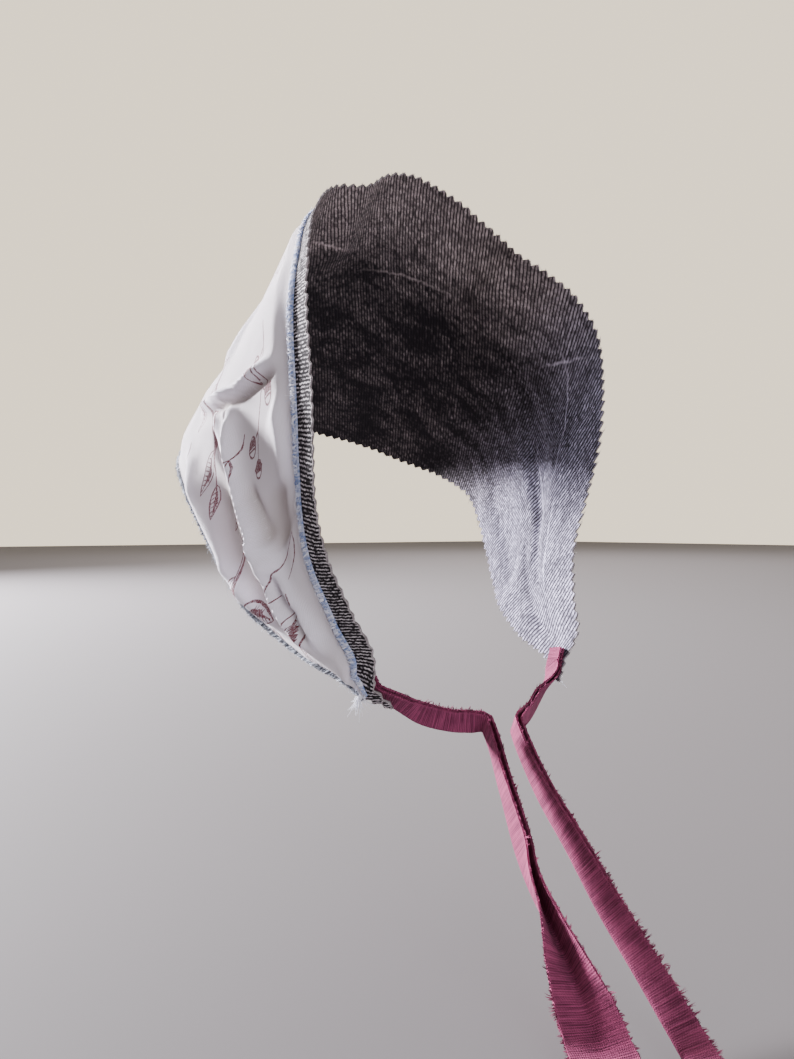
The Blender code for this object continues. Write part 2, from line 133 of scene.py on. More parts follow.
# Where the soft cotton stands off the denim, or is drawn down to it
COVER_CREASES = (
    Crease(-1, 0.0046, 0.0026, ((0.44, 0.80), (0.53, 0.845), (0.60, 0.87), (0.67, 0.87), (0.76, 0.76),
                                (0.87, 0.74))),
    Crease(-1, 0.0060, -0.0017, ((0.54, 0.68), (0.62, 0.70), (0.68, 0.71), (0.74, 0.64), (0.82, 0.62),
                                 (0.88, 0.66))),
    Crease(-1, 0.0038, 0.0032, ((0.50, 0.47), (0.56, 0.489), (0.65, 0.513), (0.72, 0.489), (0.77, 0.495),
                                (0.86, 0.542), (0.93, 0.66))),
    Crease(-1, 0.0018, -0.0026, ((0.49, 0.50), (0.54, 0.522), (0.60, 0.538), (0.66, 0.560))),
    Crease(-1, 0.0024, -0.0024, ((0.64, 0.470), (0.70, 0.455), (0.74, 0.440))),
    Crease(-1, 0.0032, 0.0026, ((0.72, 0.470), (0.76, 0.450), (0.80, 0.420), (0.86, 0.429), (0.93, 0.50))),
    Crease(-1, 0.0022, -0.0024, ((0.75, 0.492), (0.79, 0.468), (0.83, 0.476), (0.90, 0.530))),
    Crease(-1, 0.0085, -0.0018, ((0.67, 0.30), (0.71, 0.35), (0.75, 0.37))),
    Crease(-1, 0.0026, 0.0030, ((0.545, 0.15), (0.528, 0.27), (0.512, 0.39), (0.495, 0.48), (0.455, 0.62),
                                (0.41, 0.72))),
    Crease(-1, 0.0017, -0.0028, ((0.560, 0.17), (0.543, 0.28), (0.527, 0.40), (0.509, 0.49),
                                 (0.470, 0.63))),
    Crease(-1, 0.0034, 0.0018, ((0.47, 0.60), (0.54, 0.59), (0.61, 0.56), (0.66, 0.60))),
    Crease(-1, 0.0024, -0.0016, ((0.50, 0.64), (0.56, 0.63), (0.61, 0.61))),
    Crease(-1, 0.0070, 0.0014, ((0.58, 0.24), (0.64, 0.20), (0.72, 0.20))),
    Crease(-1, 0.0040, 0.0018, ((0.14, 0.30), (0.24, 0.42), (0.34, 0.50), (0.42, 0.52))),
    Crease(-1, 0.0034, -0.0018, ((0.20, 0.46), (0.30, 0.56), (0.38, 0.62))),
    Crease(-1, 0.0046, 0.0018, ((0.04, 0.62), (0.14, 0.72), (0.26, 0.84), (0.36, 0.90))),
    Crease(1, 0.0046, 0.0024, ((0.40, 0.82), (0.50, 0.86), (0.62, 0.84), (0.74, 0.76), (0.86, 0.74))),
    Crease(1, 0.0060, -0.0017, ((0.50, 0.68), (0.60, 0.70), (0.70, 0.66), (0.80, 0.62))),
    Crease(1, 0.0038, 0.0030, ((0.44, 0.46), (0.54, 0.50), (0.64, 0.53), (0.74, 0.50), (0.86, 0.55),
                               (0.93, 0.66))),
    Crease(1, 0.0019, -0.0025, ((0.46, 0.50), (0.55, 0.54), (0.64, 0.57))),
    Crease(1, 0.0032, 0.0024, ((0.66, 0.42), (0.74, 0.38), (0.84, 0.42), (0.92, 0.50))),
    Crease(1, 0.0080, -0.0018, ((0.56, 0.28), (0.62, 0.32), (0.68, 0.34))),
    Crease(1, 0.0027, 0.0024, ((0.46, 0.14), (0.43, 0.30), (0.38, 0.46), (0.32, 0.60))),
    Crease(1, 0.0018, -0.0024, ((0.475, 0.17), (0.445, 0.32), (0.395, 0.48))),
    Crease(1, 0.0044, 0.0018, ((0.06, 0.40), (0.16, 0.52), (0.26, 0.60))),
    Crease(1, 0.0038, -0.0017, ((0.08, 0.80), (0.18, 0.74), (0.30, 0.76))),
)


def smooth_step(value: Array) -> Array:
    """0 below 0 and 1 above 1, with a soft start and end between."""
    value = np.clip(value, 0.0, 1.0)
    return value * value * (3.0 - 2.0 * value)


def bell(distance: Array, spread: float) -> Array:
    """1 at no distance, fading over the spread."""
    return np.exp(-(distance / spread) ** 2)


def running_length(points: Array) -> Array:
    """Length run along a line of points, at each point."""
    return np.concatenate([[0.0], np.cumsum(np.linalg.norm(np.diff(points, axis=0), axis=1))])


def curve_through(rows: Array, stops: Array, places: Array) -> Array:
    """A smooth curve through rows of numbers.

    Args:
        rows: one row of numbers for each stop.
        stops: where along the curve each row stands.
        places: where along the curve to read it.

    Returns:
        One row of numbers for each place.
    """
    last = len(rows) - 1
    low = np.clip(np.searchsorted(stops, places, side="left") - 1, 0, last - 1)
    before, after = np.maximum(np.arange(last + 1) - 1, 0), np.minimum(np.arange(last + 1) + 1, last)
    slopes = (rows[after] - rows[before]) / (stops[after] - stops[before])[:, None]
    span = (stops[low + 1] - stops[low])[:, None]
    share = (places - stops[low])[:, None] / span
    start = 2 * share ** 3 - 3 * share ** 2 + 1
    return (start * rows[low] + (share ** 3 - 2 * share ** 2 + share) * span * slopes[low]
            + (1 - start) * rows[low + 1] + (share ** 3 - share ** 2) * span * slopes[low + 1])


def read_line(line: Array, stops: Array, places: Array | float) -> Array:
    """Points of the flat cloth at places along a line whose own points stand at the stops."""
    return np.stack([np.interp(places, stops, line[:, axis]) for axis in (0, 1)], axis=-1)


def unit(vectors: Array) -> Array:
    """The same vectors at length 1."""
    return vectors / np.maximum(np.linalg.norm(vectors, axis=-1, keepdims=True), 1e-12)


@dataclass(frozen=True)
class LeafSizes:
    """The sizes that every layer of the bonnet shares with the CAD part."""
    half_width: float = 0.092
    arch_height: float = 0.250
    leaf_depth: float = 0.190
    lean: float = math.radians(32.7)
    crown_sink: float = 0.024
    sink_depth: float = 0.7
    sink_spread: float = 0.30
    back_flare: float = 0.010
    flare_place: float = 0.42
    flare_spread: float = 0.22
    denim_wall: float = 0.0010
    cotton_wall: float = 0.0010
    layer_gap: float = 0.00035
    front_lap: float = 0.0125
    back_lap: float = 0.0022
    edging_width: float = 0.0032
    edging_gap: float = 0.0003
    tooth_pitch: float = 0.0058
    tooth_depth: float = 0.0026
    flat_corner: float = 0.10


class Edge(Enum):
    """The two long edges of the leaf."""
    FRONT = "front"
    BACK = "back"


class LeafSurface:
    """The bent and folded leaf of cloth, read at any point of the flat cloth."""

    def __init__(self, sizes: LeafSizes, folds: Sequence[Fold]) -> None:
        """Bend the leaf.

        Args:
            sizes: the leaf's sizes.
            folds: the soft folds that lift the cloth.
        """
        self.sizes, self.folds = sizes, folds
        scale = np.array([sizes.half_width, -sizes.arch_height, sizes.leaf_depth, sizes.leaf_depth])
        rows = np.array(LEAF_SECTIONS) * scale
        rows = np.vstack([rows[1] * (-1, 1, 1, 1), rows])
        stops = running_length(rows[:, :3])
        fine = curve_through(rows, stops, np.linspace(stops[1], stops[-1], 601))
        girth = running_length(fine[:, :2])
        self.half_girth = girth[-1]
        tongue = np.array(LINING_TONGUE) * scale
        slants = np.hypot(1.0, np.gradient(fine[:, 2:], girth, axis=0))
        fine = np.hstack([fine, slants])
        self.rows = np.vstack([fine, np.append(tongue, slants[-1])])
        self.girths = np.append(girth, girth[-1] + math.dist(tongue[:2], fine[-1, :2]))
        self.reach = self.girths[-1]
        self.across = np.linspace(-self.reach, self.reach, 641)
        self.along = np.linspace(0.0, 1.0, 121)
        girths, shares = np.meshgrid(self.across, self.along, indexing="ij")
        points = self.bent(girths, shares)
        front = self.column(np.zeros(1))[2]
        points -= self.bent(np.zeros(1), -front / self.width(np.zeros(1)))
        self.normals = unit(np.cross(np.gradient(points, axis=0), np.gradient(points, axis=1)))
        self.points = points + self.normals * self.lift(girths, shares)[..., None]

    @property
    def cover_face(self) -> float:
        """Height of the cover's outer face above the denim's inner face."""
        return self.sizes.denim_wall + self.sizes.layer_gap + self.sizes.cotton_wall

    def column(self, girth: Array) -> list[Array]:
        """Out, up, front, back, front slant and back slant at each girth."""
        columns = [np.interp(np.abs(girth), self.girths, row) for row in self.rows.T]
        columns[0] = columns[0] * np.sign(girth)
        return columns

    def width(self, girth: Array) -> Array:
        """From front edge to back edge."""
        columns = self.column(girth)
        return columns[3] - columns[2]

    def bent(self, girth: Array, share: Array) -> Array:
        """Points of the denim's inner face before the folds lift it.

        Args:
            girth: signed girth of each point.
            share: share of the way from front edge to back edge.

        Returns:
            One point each.
        """
        sizes = self.sizes
        out, up, front, back = self.column(girth)[:4]
        girth_share = np.abs(girth) / self.half_girth
        sunk = smooth_step(share / sizes.sink_depth) * bell(girth_share, sizes.sink_spread)
        up = up - sizes.crown_sink * sunk
        flared = smooth_step(share) * bell(girth_share - sizes.flare_place, sizes.flare_spread)
        out = out + np.sign(girth) * sizes.back_flare * flared
        along = front + share * (back - front)
        return np.stack([out, along * math.cos(sizes.lean) + up * math.sin(sizes.lean),
                         up * math.cos(sizes.lean) - along * math.sin(sizes.lean)], axis=-1)

    def lift(self, girth: Array, share: Array) -> Array:
        """How far the soft folds lift the cloth; they fade out towards the sewn corners."""
        depth = share * self.width(girth)
        loose = smooth_step((1.0 - np.abs(girth) / self.half_girth) / self.sizes.flat_corner)
        return (self.folded(girth, depth, self.folds) + self.ripple(girth, depth)) * loose

    def folded(self, girth: Array, depth: Array, folds: Sequence[Fold]) -> Array:
        """How far some folds lift the cloth, in metres.

        Args:
            girth: signed girth of each point.
            depth: depth of each point.
            folds: the folds.

        Returns:
            One height for each point.
        """
        width, total = self.width(girth), np.zeros_like(girth)
        here = np.stack([np.abs(girth), depth], axis=-1)
        for fold in folds:
            ends = ((fold.girth_a, fold.depth_a), (fold.girth_b, fold.depth_b))
            start, end = (np.stack([np.full_like(width, out * self.half_girth), down * width], axis=-1)
                          for out, down in ends)
            line = end - start
            run = np.clip(((here - start) * line).sum(-1) / (line ** 2).sum(-1), 0.0, 1.0)
            away = np.linalg.norm(here - start - line * run[..., None], axis=-1)
            same_side = np.where(girth < 0, -1, 1) == fold.side
            total += same_side * fold.height * self.sizes.leaf_depth * bell(
                away, fold.spread * self.sizes.leaf_depth)
        return total

    def creased(self, flat: Array, creases: Sequence[Crease]) -> Array:
        """How far some long creases lift the cloth, in metres.

        Args:
            flat: (girth, depth) of each point.
            creases: the creases.

        Returns:
            One height for each point.
        """
        total = np.zeros(len(flat))
        here = np.stack([np.abs(flat[:, 0]), flat[:, 1]], axis=-1)
        for crease in creases:
            places = np.array(crease.places)
            places[:, 0] *= self.half_girth
            places[:, 1] *= self.width(places[:, 0])
            run = running_length(places)
            line = curve_through(places, run, np.linspace(0.0, run[-1], 25))
            start, step = line[:-1], np.diff(line, axis=0)
            near = np.flatnonzero((np.sign(flat[:, 0]) == crease.side)
                                  & (here > line.min(0) - 3 * crease.spread).all(1)
                                  & (here < line.max(0) + 3 * crease.spread).all(1))
            share = (((here[near, None] - start) * step).sum(-1) / (step ** 2).sum(-1)).clip(0.0, 1.0)
            away = np.linalg.norm(here[near, None] - start - step * share[..., None], axis=-1)
            nearest = away.argmin(1)
            rows = np.arange(len(near))
            along = (nearest + share[rows, nearest]) / len(start)
            ends = smooth_step(np.minimum(along, 1.0 - along) / CREASE_FADE)
            total[near] += crease.height * ends * bell(away[rows, nearest], crease.spread)
        return total

    def ripple(self, girth: Array, depth: Array) -> Array:
        """The faint unevenness of cloth that has been handled, in metres."""
        random, steepness = np.random.default_rng(19), 0.0016
        total = np.zeros_like(girth)
        for length in np.linspace(0.014, 0.055, 16):
            turn, start = random.uniform(0.0, math.pi), random.uniform(0.0, 2 * math.pi)
            run = girth * math.cos(turn) + depth * math.sin(turn)
            total += np.sin(2 * math.pi * run / length + start) * length * steepness
        return total

    def read(self, grid: Array, flat: Array) -> Array:
        """A grid's value at points of the flat cloth.

        Args:
            grid: one row of numbers for each girth and share of the depth.
            flat: (girth, depth) of each point.

        Returns:
            One row of numbers for each point.
        """
        share = np.clip(flat[..., 1] / self.width(flat[..., 0]), 0.0, 1.0) * (len(self.along) - 1)
        place = np.clip((flat[..., 0] / self.reach + 1.0) / 2.0, 0.0, 1.0) * (len(self.across) - 1)
        i = np.minimum(place.astype(int), len(self.across) - 2)
        j = np.minimum(share.astype(int), len(self.along) - 2)
        u, v = (place - i)[..., None], (share - j)[..., None]
        return ((1 - u) * (1 - v) * grid[i, j] + u * (1 - v) * grid[i + 1, j]
                + (1 - u) * v * grid[i, j + 1] + u * v * grid[i + 1, j + 1])

    def outward(self, flat: Array) -> Array:
        """The direction square to the cloth, away from the head, at points of the flat cloth."""
        return unit(self.read(self.normals, flat))

    def at(self, flat: Array, height: Array | float) -> Array:
        """Points at a height above the denim's inner face."""
        height = np.broadcast_to(height, flat.shape[:-1])[..., None]
        return self.read(self.points, flat) + self.outward(flat) * height

    def laps(self, girth: Array) -> tuple[Array, ...]:
        """Where the layers' edges lie.

        Args:
            girth: signed girth of each place.

        Returns:
            The depths of the front band's front, the cover's front, the cover's back and the back
            band's back.
        """
        sizes, width = self.sizes, self.width(girth)
        front_slant, back_slant = self.column(girth)[4:]
        front_lap = np.minimum(sizes.front_lap * front_slant, 0.55 * width)
        back_lap = np.minimum(sizes.back_lap * back_slant, 0.10 * width)
        cloth, band = width - front_lap - back_lap, sizes.edging_width + sizes.edging_gap
        front_band = np.minimum(band * front_slant, 0.30 * cloth)
        back_band = np.minimum(band * back_slant, 0.30 * cloth)
        return front_lap, front_lap + front_band, width - back_lap - back_band, width - back_lap

    def walk(self, line: Line, reach: float, step: float) -> Array:
        """Even steps along a line of the cloth.

        Args:
            line: the line's depth at each girth.
            reach: the girth at which it ends on both sides.
            step: how long each step is, about.

        Returns:
            The girth of each step.
        """
        girths = np.linspace(-reach, reach, 1201)
        run = running_length(self.at(np.stack([girths, line(girths)], axis=-1), 0.0))
        count = max(2, round(run[-1] / step))
        return np.interp(np.linspace(0.0, run[-1], count + 1), run, girths)


class MeshMaker:
    """Makes one object from arrays, with numbers kept on its points."""

    def __init__(self, name: str) -> None:
        """Start an empty object of that name."""
        self.name = name
        self.points: list[Array] = []
        self.faces: list[list[int]] = []
        self.numbers: dict[str, list[Array]] = {"flat": [], "edge": [], "mark": [], "rise": []}
        self.count = 0

    def add(self, points: Array, faces: Array, flat: Array, edge: Array | float,
            mark: Array | float, rise: Array | float = 0.5) -> int:
        """Add points and the faces between them.

        Args:
            points: the points' places.
            faces: rows of point numbers, counted from the first of these points.
            flat: each point's place on the flat cloth, with its side as the third number.
            edge: each point's distance from a raw edge.
            mark: a number that the material reads, such as ink or a strand's own shade.
            rise: 1 on a ridge of the cloth and 0 in a hollow, which the printed cotton turns into painted
                light on the ridges and painted shade in the hollows.

        Returns:
            The number of the first of these points in the whole mesh.
        """
        start = self.count
        self.points.append(points)
        self.faces.extend((np.asarray(faces) + start).tolist())
        self.numbers["flat"].append(flat)
        for name, values in (("edge", edge), ("mark", mark), ("rise", rise)):
            self.numbers[name].append(np.broadcast_to(values, len(points)))
        self.count += len(points)
        return start

    def finish(self, materials: Sequence[bpy.types.Material], sharp: float = 50.0) -> bpy.types.Object:
        """Put the object in the scene.

        Args:
            materials: the object's material slots.
            sharp: the angle in degrees past which an edge stays crisp.

        Returns:
            The object.
        """
        mesh = bpy.data.meshes.new(self.name)
        mesh.from_pydata(np.concatenate(self.points).tolist(), [], self.faces)
        for name, rows in self.numbers.items():
            values = np.concatenate(rows).astype(np.float32)
            kind, key = ("FLOAT", "value") if values.ndim == 1 else ("FLOAT_VECTOR", "vector")
            mesh.attributes.new(name, kind, "POINT").data.foreach_set(key, values.ravel())
        for material in materials:
            mesh.materials.append(material)
        mesh.validate()
        mesh.shade_smooth()
        mesh.set_sharp_from_angle(angle=math.radians(sharp))
        item = bpy.data.objects.new(self.name, mesh)
        bpy.context.scene.collection.objects.link(item)
        log.info("%s: %d faces", self.name, len(mesh.polygons))
        return item


class StrandMaker(MeshMaker):
    """Makes one object of many fine threads."""

    def strands(self, lines: Array, radii: Array, up: Array, flat: Array,
                shade: Array, sides: int = 5) -> None:
        """Add round threads that taper to a point at both ends.

        Args:
            lines: the middle line of each thread, all with as many points.
            radii: the radius at each point of a line.
            up: a direction for each thread that isn't along it.
            flat: each thread's (girth, depth) on the flat cloth.
            shade: each thread's own shade.
            sides: how many sides a thread has.
        """
        count, length = lines.shape[:2]
        along = unit(np.gradient(lines, axis=1))
        across = unit(np.cross(along, up[:, None, :]))
        upward = np.cross(across, along)
        turns = np.linspace(0.0, 2 * math.pi, sides, endpoint=False)
        spokes = across[:, :, None] * np.cos(turns)[:, None] + upward[:, :, None] * np.sin(turns)[:, None]
        rings = lines[:, :, None] + np.asarray(radii)[..., :, None, None] * spokes
        here, after = np.arange(sides), (np.arange(sides) + 1) % sides
        faces = []
        for ring in range(length - 1):
            low, high = ring * sides, (ring + 1) * sides
            faces.append(np.stack([low + here, low + after, high + after, high + here], axis=-1))
        faces = np.concatenate(faces)
        each = length * sides
        starts = np.arange(count)[:, None, None] * each
        flat = np.repeat(np.column_stack([flat, np.zeros(count)]), each, axis=0)
        start = self.add(rings.reshape(-1, 3), (faces + starts).reshape(-1, 4), flat, 0.0,
                         np.repeat(shade, each))
        for cap in (here[::-1], each - sides + here):
            self.faces.extend((cap + starts[:, 0] + start).tolist())


class Tree:
    """Places nodes in one shader tree and joins them."""

    def __init__(self, tree: bpy.types.NodeTree) -> None:
        """Work in that tree."""
        self.tree = tree

    def add(self, kind: str, values: dict | None = None, **settings: object) -> bpy.types.Node:
        """Add a node.

        Args:
            kind: the node's type, without its ShaderNode prefix.
            values: socket name or number to a value or another node's socket.
            settings: the node's own properties.

        Returns:
            The node.
        """
        node = self.tree.nodes.new("ShaderNode" + kind)
        for key, value in settings.items():
            setattr(node, key, value)
        for key, value in (values or {}).items():
            if isinstance(value, Socket):
                self.tree.links.new(value, node.inputs[key])
            else:
                node.inputs[key].default_value = value
        return node

    def math(self, operation: str, *values: float | Socket) -> Socket:
        """The result of a Math node."""
        return self.add("Math", dict(enumerate(values)), operation=operation).outputs[0]

    def plus(self, first: float | Socket, second: float | Socket) -> Socket:
        """Two values added."""
        return self.math("ADD", first, second)

    def minus(self, first: float | Socket, second: float | Socket) -> Socket:
        """The first value less the second."""
        return self.math("SUBTRACT", first, second)

    def times(self, first: float | Socket, second: float | Socket) -> Socket:
        """Two values multiplied."""
        return self.math("MULTIPLY", first, second)

    def over(self, first: float | Socket, second: float | Socket) -> Socket:
        """The first value divided by the second."""
        return self.math("DIVIDE", first, second)

    def most(self, first: float | Socket, second: float | Socket) -> Socket:
        """The greater of two values."""
        return self.math("MAXIMUM", first, second)

    def fading(self, distance: Socket, reach: Socket) -> Socket:
        """1 at no distance, falling evenly to 0 at the reach."""
        return self.most(self.minus(1.0, self.over(distance, reach)), 0.0)

    def vector(self, operation: str, *values: object) -> Socket:
        """The result of a Vector Math node."""
        return self.add("VectorMath", dict(enumerate(values)), operation=operation).outputs[0]

    def dot(self, first: Socket, second: Socket) -> Socket:
        """The dot product of two vectors."""
        return self.add("VectorMath", {0: first, 1: second}, operation="DOT_PRODUCT").outputs["Value"]

    def ramp(self, value: Socket, low: float | Socket, high: float | Socket, to_low: float = 0.0,
             to_high: float = 1.0) -> Socket:
        """A value mapped softly from one range to another."""
        values = {0: value, 1: low, 2: high, 3: to_low, 4: to_high}
        return self.add("MapRange", values, interpolation_type="SMOOTHSTEP").outputs[0]

    def noise(self, place: Socket, scale: float | Socket, detail: float = 2.0, distortion: float = 0.0,
              output: str = "Fac") -> Socket:
        """Smooth noise from 0 to 1, as one number or, by the output Color, as three."""
        values = {"Vector": place, "Scale": scale, "Detail": detail, "Distortion": distortion}
        return self.add("TexNoise", values).outputs[output]

    def mix(self, share: float | Socket, low: Color | Socket, high: Color | Socket) -> Socket:
        """Two colours mixed by a share."""
        low, high = (end if isinstance(end, Socket) else paint(end) for end in (low, high))
        return self.add("Mix", {0: share, 6: low, 7: high}, data_type="RGBA").outputs[2]

    def parts(self, place: Socket) -> bpy.types.NodeOutputs:
        """A vector's X, Y and Z."""
        return self.add("SeparateXYZ", {0: place}).outputs

    def attribute(self, name: str, output: str = "Fac") -> Socket:
        """A number that the mesh carries."""
        return self.add("Attribute", attribute_name=name).outputs[output]


class Effect:
    """A shader node group with named inputs and outputs, built once and used by several materials."""

    def __init__(self, name: str, inputs: dict[str, float], outputs: Sequence[str],
                 places: Sequence[str] = ()) -> None:
        """Make the empty group.

        Args:
            name: the group's name.
            inputs: each input's name and default.
            outputs: each output's name.
            places: the vector inputs; every group also has the vector input Place.
        """
        self.group = bpy.data.node_groups.new(name, "ShaderNodeTree")
        for key in ("Place", *places):
            self.group.interface.new_socket(key, in_out="INPUT", socket_type="NodeSocketVector")
        for key, value in inputs.items():
            socket = self.group.interface.new_socket(key, in_out="INPUT", socket_type="NodeSocketFloat")
            socket.default_value = value
        for key in outputs:
            self.group.interface.new_socket(key, in_out="OUTPUT", socket_type="NodeSocketFloat")
        self.tree = Tree(self.group)
        self.inputs = self.group.nodes.new("NodeGroupInput").outputs
        self.ends = self.group.nodes.new("NodeGroupOutput").inputs

    def give(self, **results: Socket) -> "Effect":
        """Join results to the group's outputs of those names."""
        for key, value in results.items():
            self.group.links.new(value, self.ends[key])
        return self

    def place(self, tree: Tree, place: Socket, **values: float | Socket) -> dict[str, Socket]:
        """Use the group in a material.

        Args:
            tree: the material's tree.
            place: the place on the cloth that it reads.
            values: the inputs' values.

        Returns:
            The group's outputs by name.
        """
        node = tree.add("Group", {"Place": place, **values}, node_tree=self.group)
        return {socket.name: socket for socket in node.outputs}


class Effects:
    """The cloth effects that the finishes share."""

    def __init__(self) -> None:
        """Build each group once."""
        self.twill = self.build_twill()
        self.weave = self.build_weave()
        self.wash = self.build_wash()
        self.wear = self.build_wear()
        self.line = self.build_line()

    @staticmethod
    def build_twill() -> Effect:
        """Ribs along the depth, broken into short dashes of light thread."""
        inputs = {"Pitch": 0.0015, "Slope": 0.0, "Dash": 0.0022, "Break": 0.5, "Soft": 0.15, "Gap": 0.5}
        effect = Effect("TwillRibs", inputs, ("Thread", "Height"))
        tree, sockets = effect.tree, effect.inputs
        place, rib_edge, golden = sockets["Place"], 0.22, 0.618
        parts = tree.parts(place)
        wobble = tree.times(tree.minus(tree.noise(place, 90.0, 2.0), 0.5), 0.0012)
        shiver = tree.times(tree.minus(tree.noise(place, 520.0, 1.0), 0.5), 0.0010)
        slope = tree.times(parts["Y"], sockets["Slope"])
        across = tree.plus(tree.plus(parts["X"], slope), tree.plus(wobble, shiver))
        count = tree.over(across, sockets["Pitch"])
        rib = tree.math("FLOOR", count)
        wave = tree.math("SINE", tree.times(tree.math("FRACT", count), math.pi))
        ridge = tree.ramp(wave, tree.minus(sockets["Gap"], rib_edge), tree.plus(sockets["Gap"], rib_edge))
        run = tree.plus(tree.over(parts["Y"], sockets["Dash"]), tree.times(rib, golden))
        cell = tree.add("CombineXYZ", {0: tree.times(rib, 1.7), 1: run, 2: parts["Z"]}).outputs[0]
        dash = tree.ramp(tree.noise(cell, 1.0, 2.0), tree.minus(sockets["Break"], sockets["Soft"]),
                         tree.plus(sockets["Break"], sockets["Soft"]))
        own = tree.noise(tree.vector("ADD", cell, (7.3, 2.1, 4.7)), 0.9, 1.0)
        shade = tree.ramp(own, 0.30, 0.70, 0.60, 1.20)
        return effect.give(Thread=tree.times(tree.times(ridge, dash), shade), Height=ridge)

    @staticmethod
    def build_weave() -> Effect:
        """A plain weave of two sets of threads, with slubs."""
        effect = Effect("PlainWeave", {"Across": 0.0005, "Along": 0.0005, "Slub": 0.3}, ("Thread", "Height"))
        tree, sockets = effect.tree, effect.inputs
        place, wander, slub_stretch = sockets["Place"], 0.0007, (60.0, 1400.0, 1.0)
        bend = tree.vector("SCALE", tree.noise(place, 160.0, 2.0, output="Color"))
        bend.node.inputs["Scale"].default_value = wander
        parts = tree.parts(tree.vector("ADD", place, bend))
        across, along = (tree.math("SINE", tree.over(parts[axis], tree.over(sockets[pitch], 2 * math.pi)))
                         for axis, pitch in (("X", "Across"), ("Y", "Along")))
        height = tree.plus(tree.times(across, along), tree.times(along, 0.6))
        stretched = tree.vector("MULTIPLY", place, slub_stretch)
        slub = tree.times(tree.minus(tree.noise(stretched, 1.0, 3.0), 0.5), sockets["Slub"])
        return effect.give(Thread=tree.plus(tree.times(height, 0.25), slub), Height=height)

    @staticmethod
    def build_wash() -> Effect:
        """Cloudy patches, as washing and handling leave."""
        effect = Effect("CloudWash", {"Size": 0.02, "Low": 0.35, "High": 0.65}, ("Cloud",))
        tree, sockets = effect.tree, effect.inputs
        scale = tree.over(1.0, sockets["Size"])
        cloud = tree.noise(sockets["Place"], scale, 4.0, 0.4)
        fine = tree.noise(sockets["Place"], tree.times(scale, 5.0), 3.0)
        both = tree.plus(tree.times(cloud, 0.72), tree.times(fine, 0.28))
        return effect.give(Cloud=tree.ramp(both, sockets["Low"], sockets["High"]))

    @staticmethod
    def build_wear() -> Effect:
        """Wear that is strongest at a raw edge."""
        effect = Effect("EdgeWear", {"Distance": 0.0, "Reach": 0.002}, ("Wear",))
        tree, sockets = effect.tree, effect.inputs
        near = tree.fading(sockets["Distance"], sockets["Reach"])
        rough = tree.ramp(tree.noise(sockets["Place"], 900.0, 2.0), 0.30, 0.62)
        return effect.give(Wear=tree.times(tree.math("POWER", near, 0.8), rough))

    @staticmethod
    def build_line() -> Effect:
        """A thin line between two places of the cloth, as a hard crease wears it."""
        effect = Effect("WornCrease", {"Width": 0.0006}, ("Wear",), ("From", "To"))
        tree, sockets = effect.tree, effect.inputs
        middle, wander, flattened = (0.5, 0.5, 0.5), (0.004, 0.004, 0.0), (1.0, 1.0, 0.0)
        bend = tree.noise(sockets["Place"], 110.0, 3.0, output="Color")
        bend = tree.vector("MULTIPLY", tree.vector("SUBTRACT", bend, middle), wander)
        place = tree.vector("MULTIPLY", tree.vector("ADD", sockets["Place"], bend), flattened)
        line = tree.vector("SUBTRACT", sockets["To"], sockets["From"])
        here = tree.vector("SUBTRACT", place, sockets["From"])
        share = tree.over(tree.dot(here, line), tree.dot(line, line))
        share = tree.add("Clamp", {0: share}).outputs[0]
        foot = tree.add("VectorMath", {0: line, "Scale": share}, operation="SCALE").outputs[0]
        away = tree.add("VectorMath", {0: here, 1: foot}, operation="DISTANCE").outputs["Value"]
        fade = tree.math("SINE", tree.times(share, math.pi))
        rough = tree.ramp(tree.noise(sockets["Place"], 420.0, 3.0), 0.30, 0.60, 0.25, 1.0)
        near = tree.fading(away, sockets["Width"])
        return effect.give(Wear=tree.times(tree.times(near, rough), fade))


def blank_material(name: str, roughness: float, sheen: float, tint: Color) -> tuple[bpy.types.Material, Tree]:
    """A cloth material with nothing joined to it yet.

    Args:
        name: the material's name.
        roughness: how matt it is.
        sheen: how much soft light its fibres catch.
        tint: the sheen's colour.

    Returns:
        The material and its tree.
    """
    material = bpy.data.materials.new(name)
    material.use_nodes = True
    shader = material.node_tree.nodes["Principled BSDF"]
    shader.inputs["Roughness"].default_value = roughness
    shader.inputs["Metallic"].default_value = 0.0
    shader.inputs["Specular IOR Level"].default_value = 0.15
    shader.inputs["Sheen Weight"].default_value = sheen
    shader.inputs["Sheen Roughness"].default_value = 0.5
    shader.inputs["Sheen Tint"].default_value = paint(tint)
    return material, Tree(material.node_tree)


def join_shader(tree: Tree, color: Socket, height: Socket, depth: float) -> None:
    """Join a colour and a bump height to a material's shader.

    Args:
        tree: the material's tree.
        color: the base colour.
        height: the bump's height, from 0 to 1.
        depth: how deep the bump is, in metres.
    """
    shader = tree.tree.nodes["Principled BSDF"]
    tree.tree.links.new(color, shader.inputs["Base Color"])
    bump = tree.add("Bump", {"Height": height, "Distance": depth, "Strength": 1.0})
    tree.tree.links.new(bump.outputs[0], shader.inputs["Normal"])


class WornLine(NamedTuple):
    """A crease worn light in the denim, in metres of girth and depth, and how bright it is."""
    girth_a: float
    depth_a: float
    girth_b: float
    depth_b: float
    bright: float


WORN_LINES = (
    WornLine(0.128, 0.048, 0.150, 0.010, 0.8), WornLine(0.128, 0.026, 0.196, 0.040, 0.9),
    WornLine(0.166, 0.070, 0.232, 0.044, 0.6), WornLine(0.196, 0.036, 0.262, 0.026, 0.7),
    WornLine(-0.070, 0.030, -0.020, 0.044, 0.5), WornLine(-0.010, 0.060, 0.070, 0.044, 0.4),
)


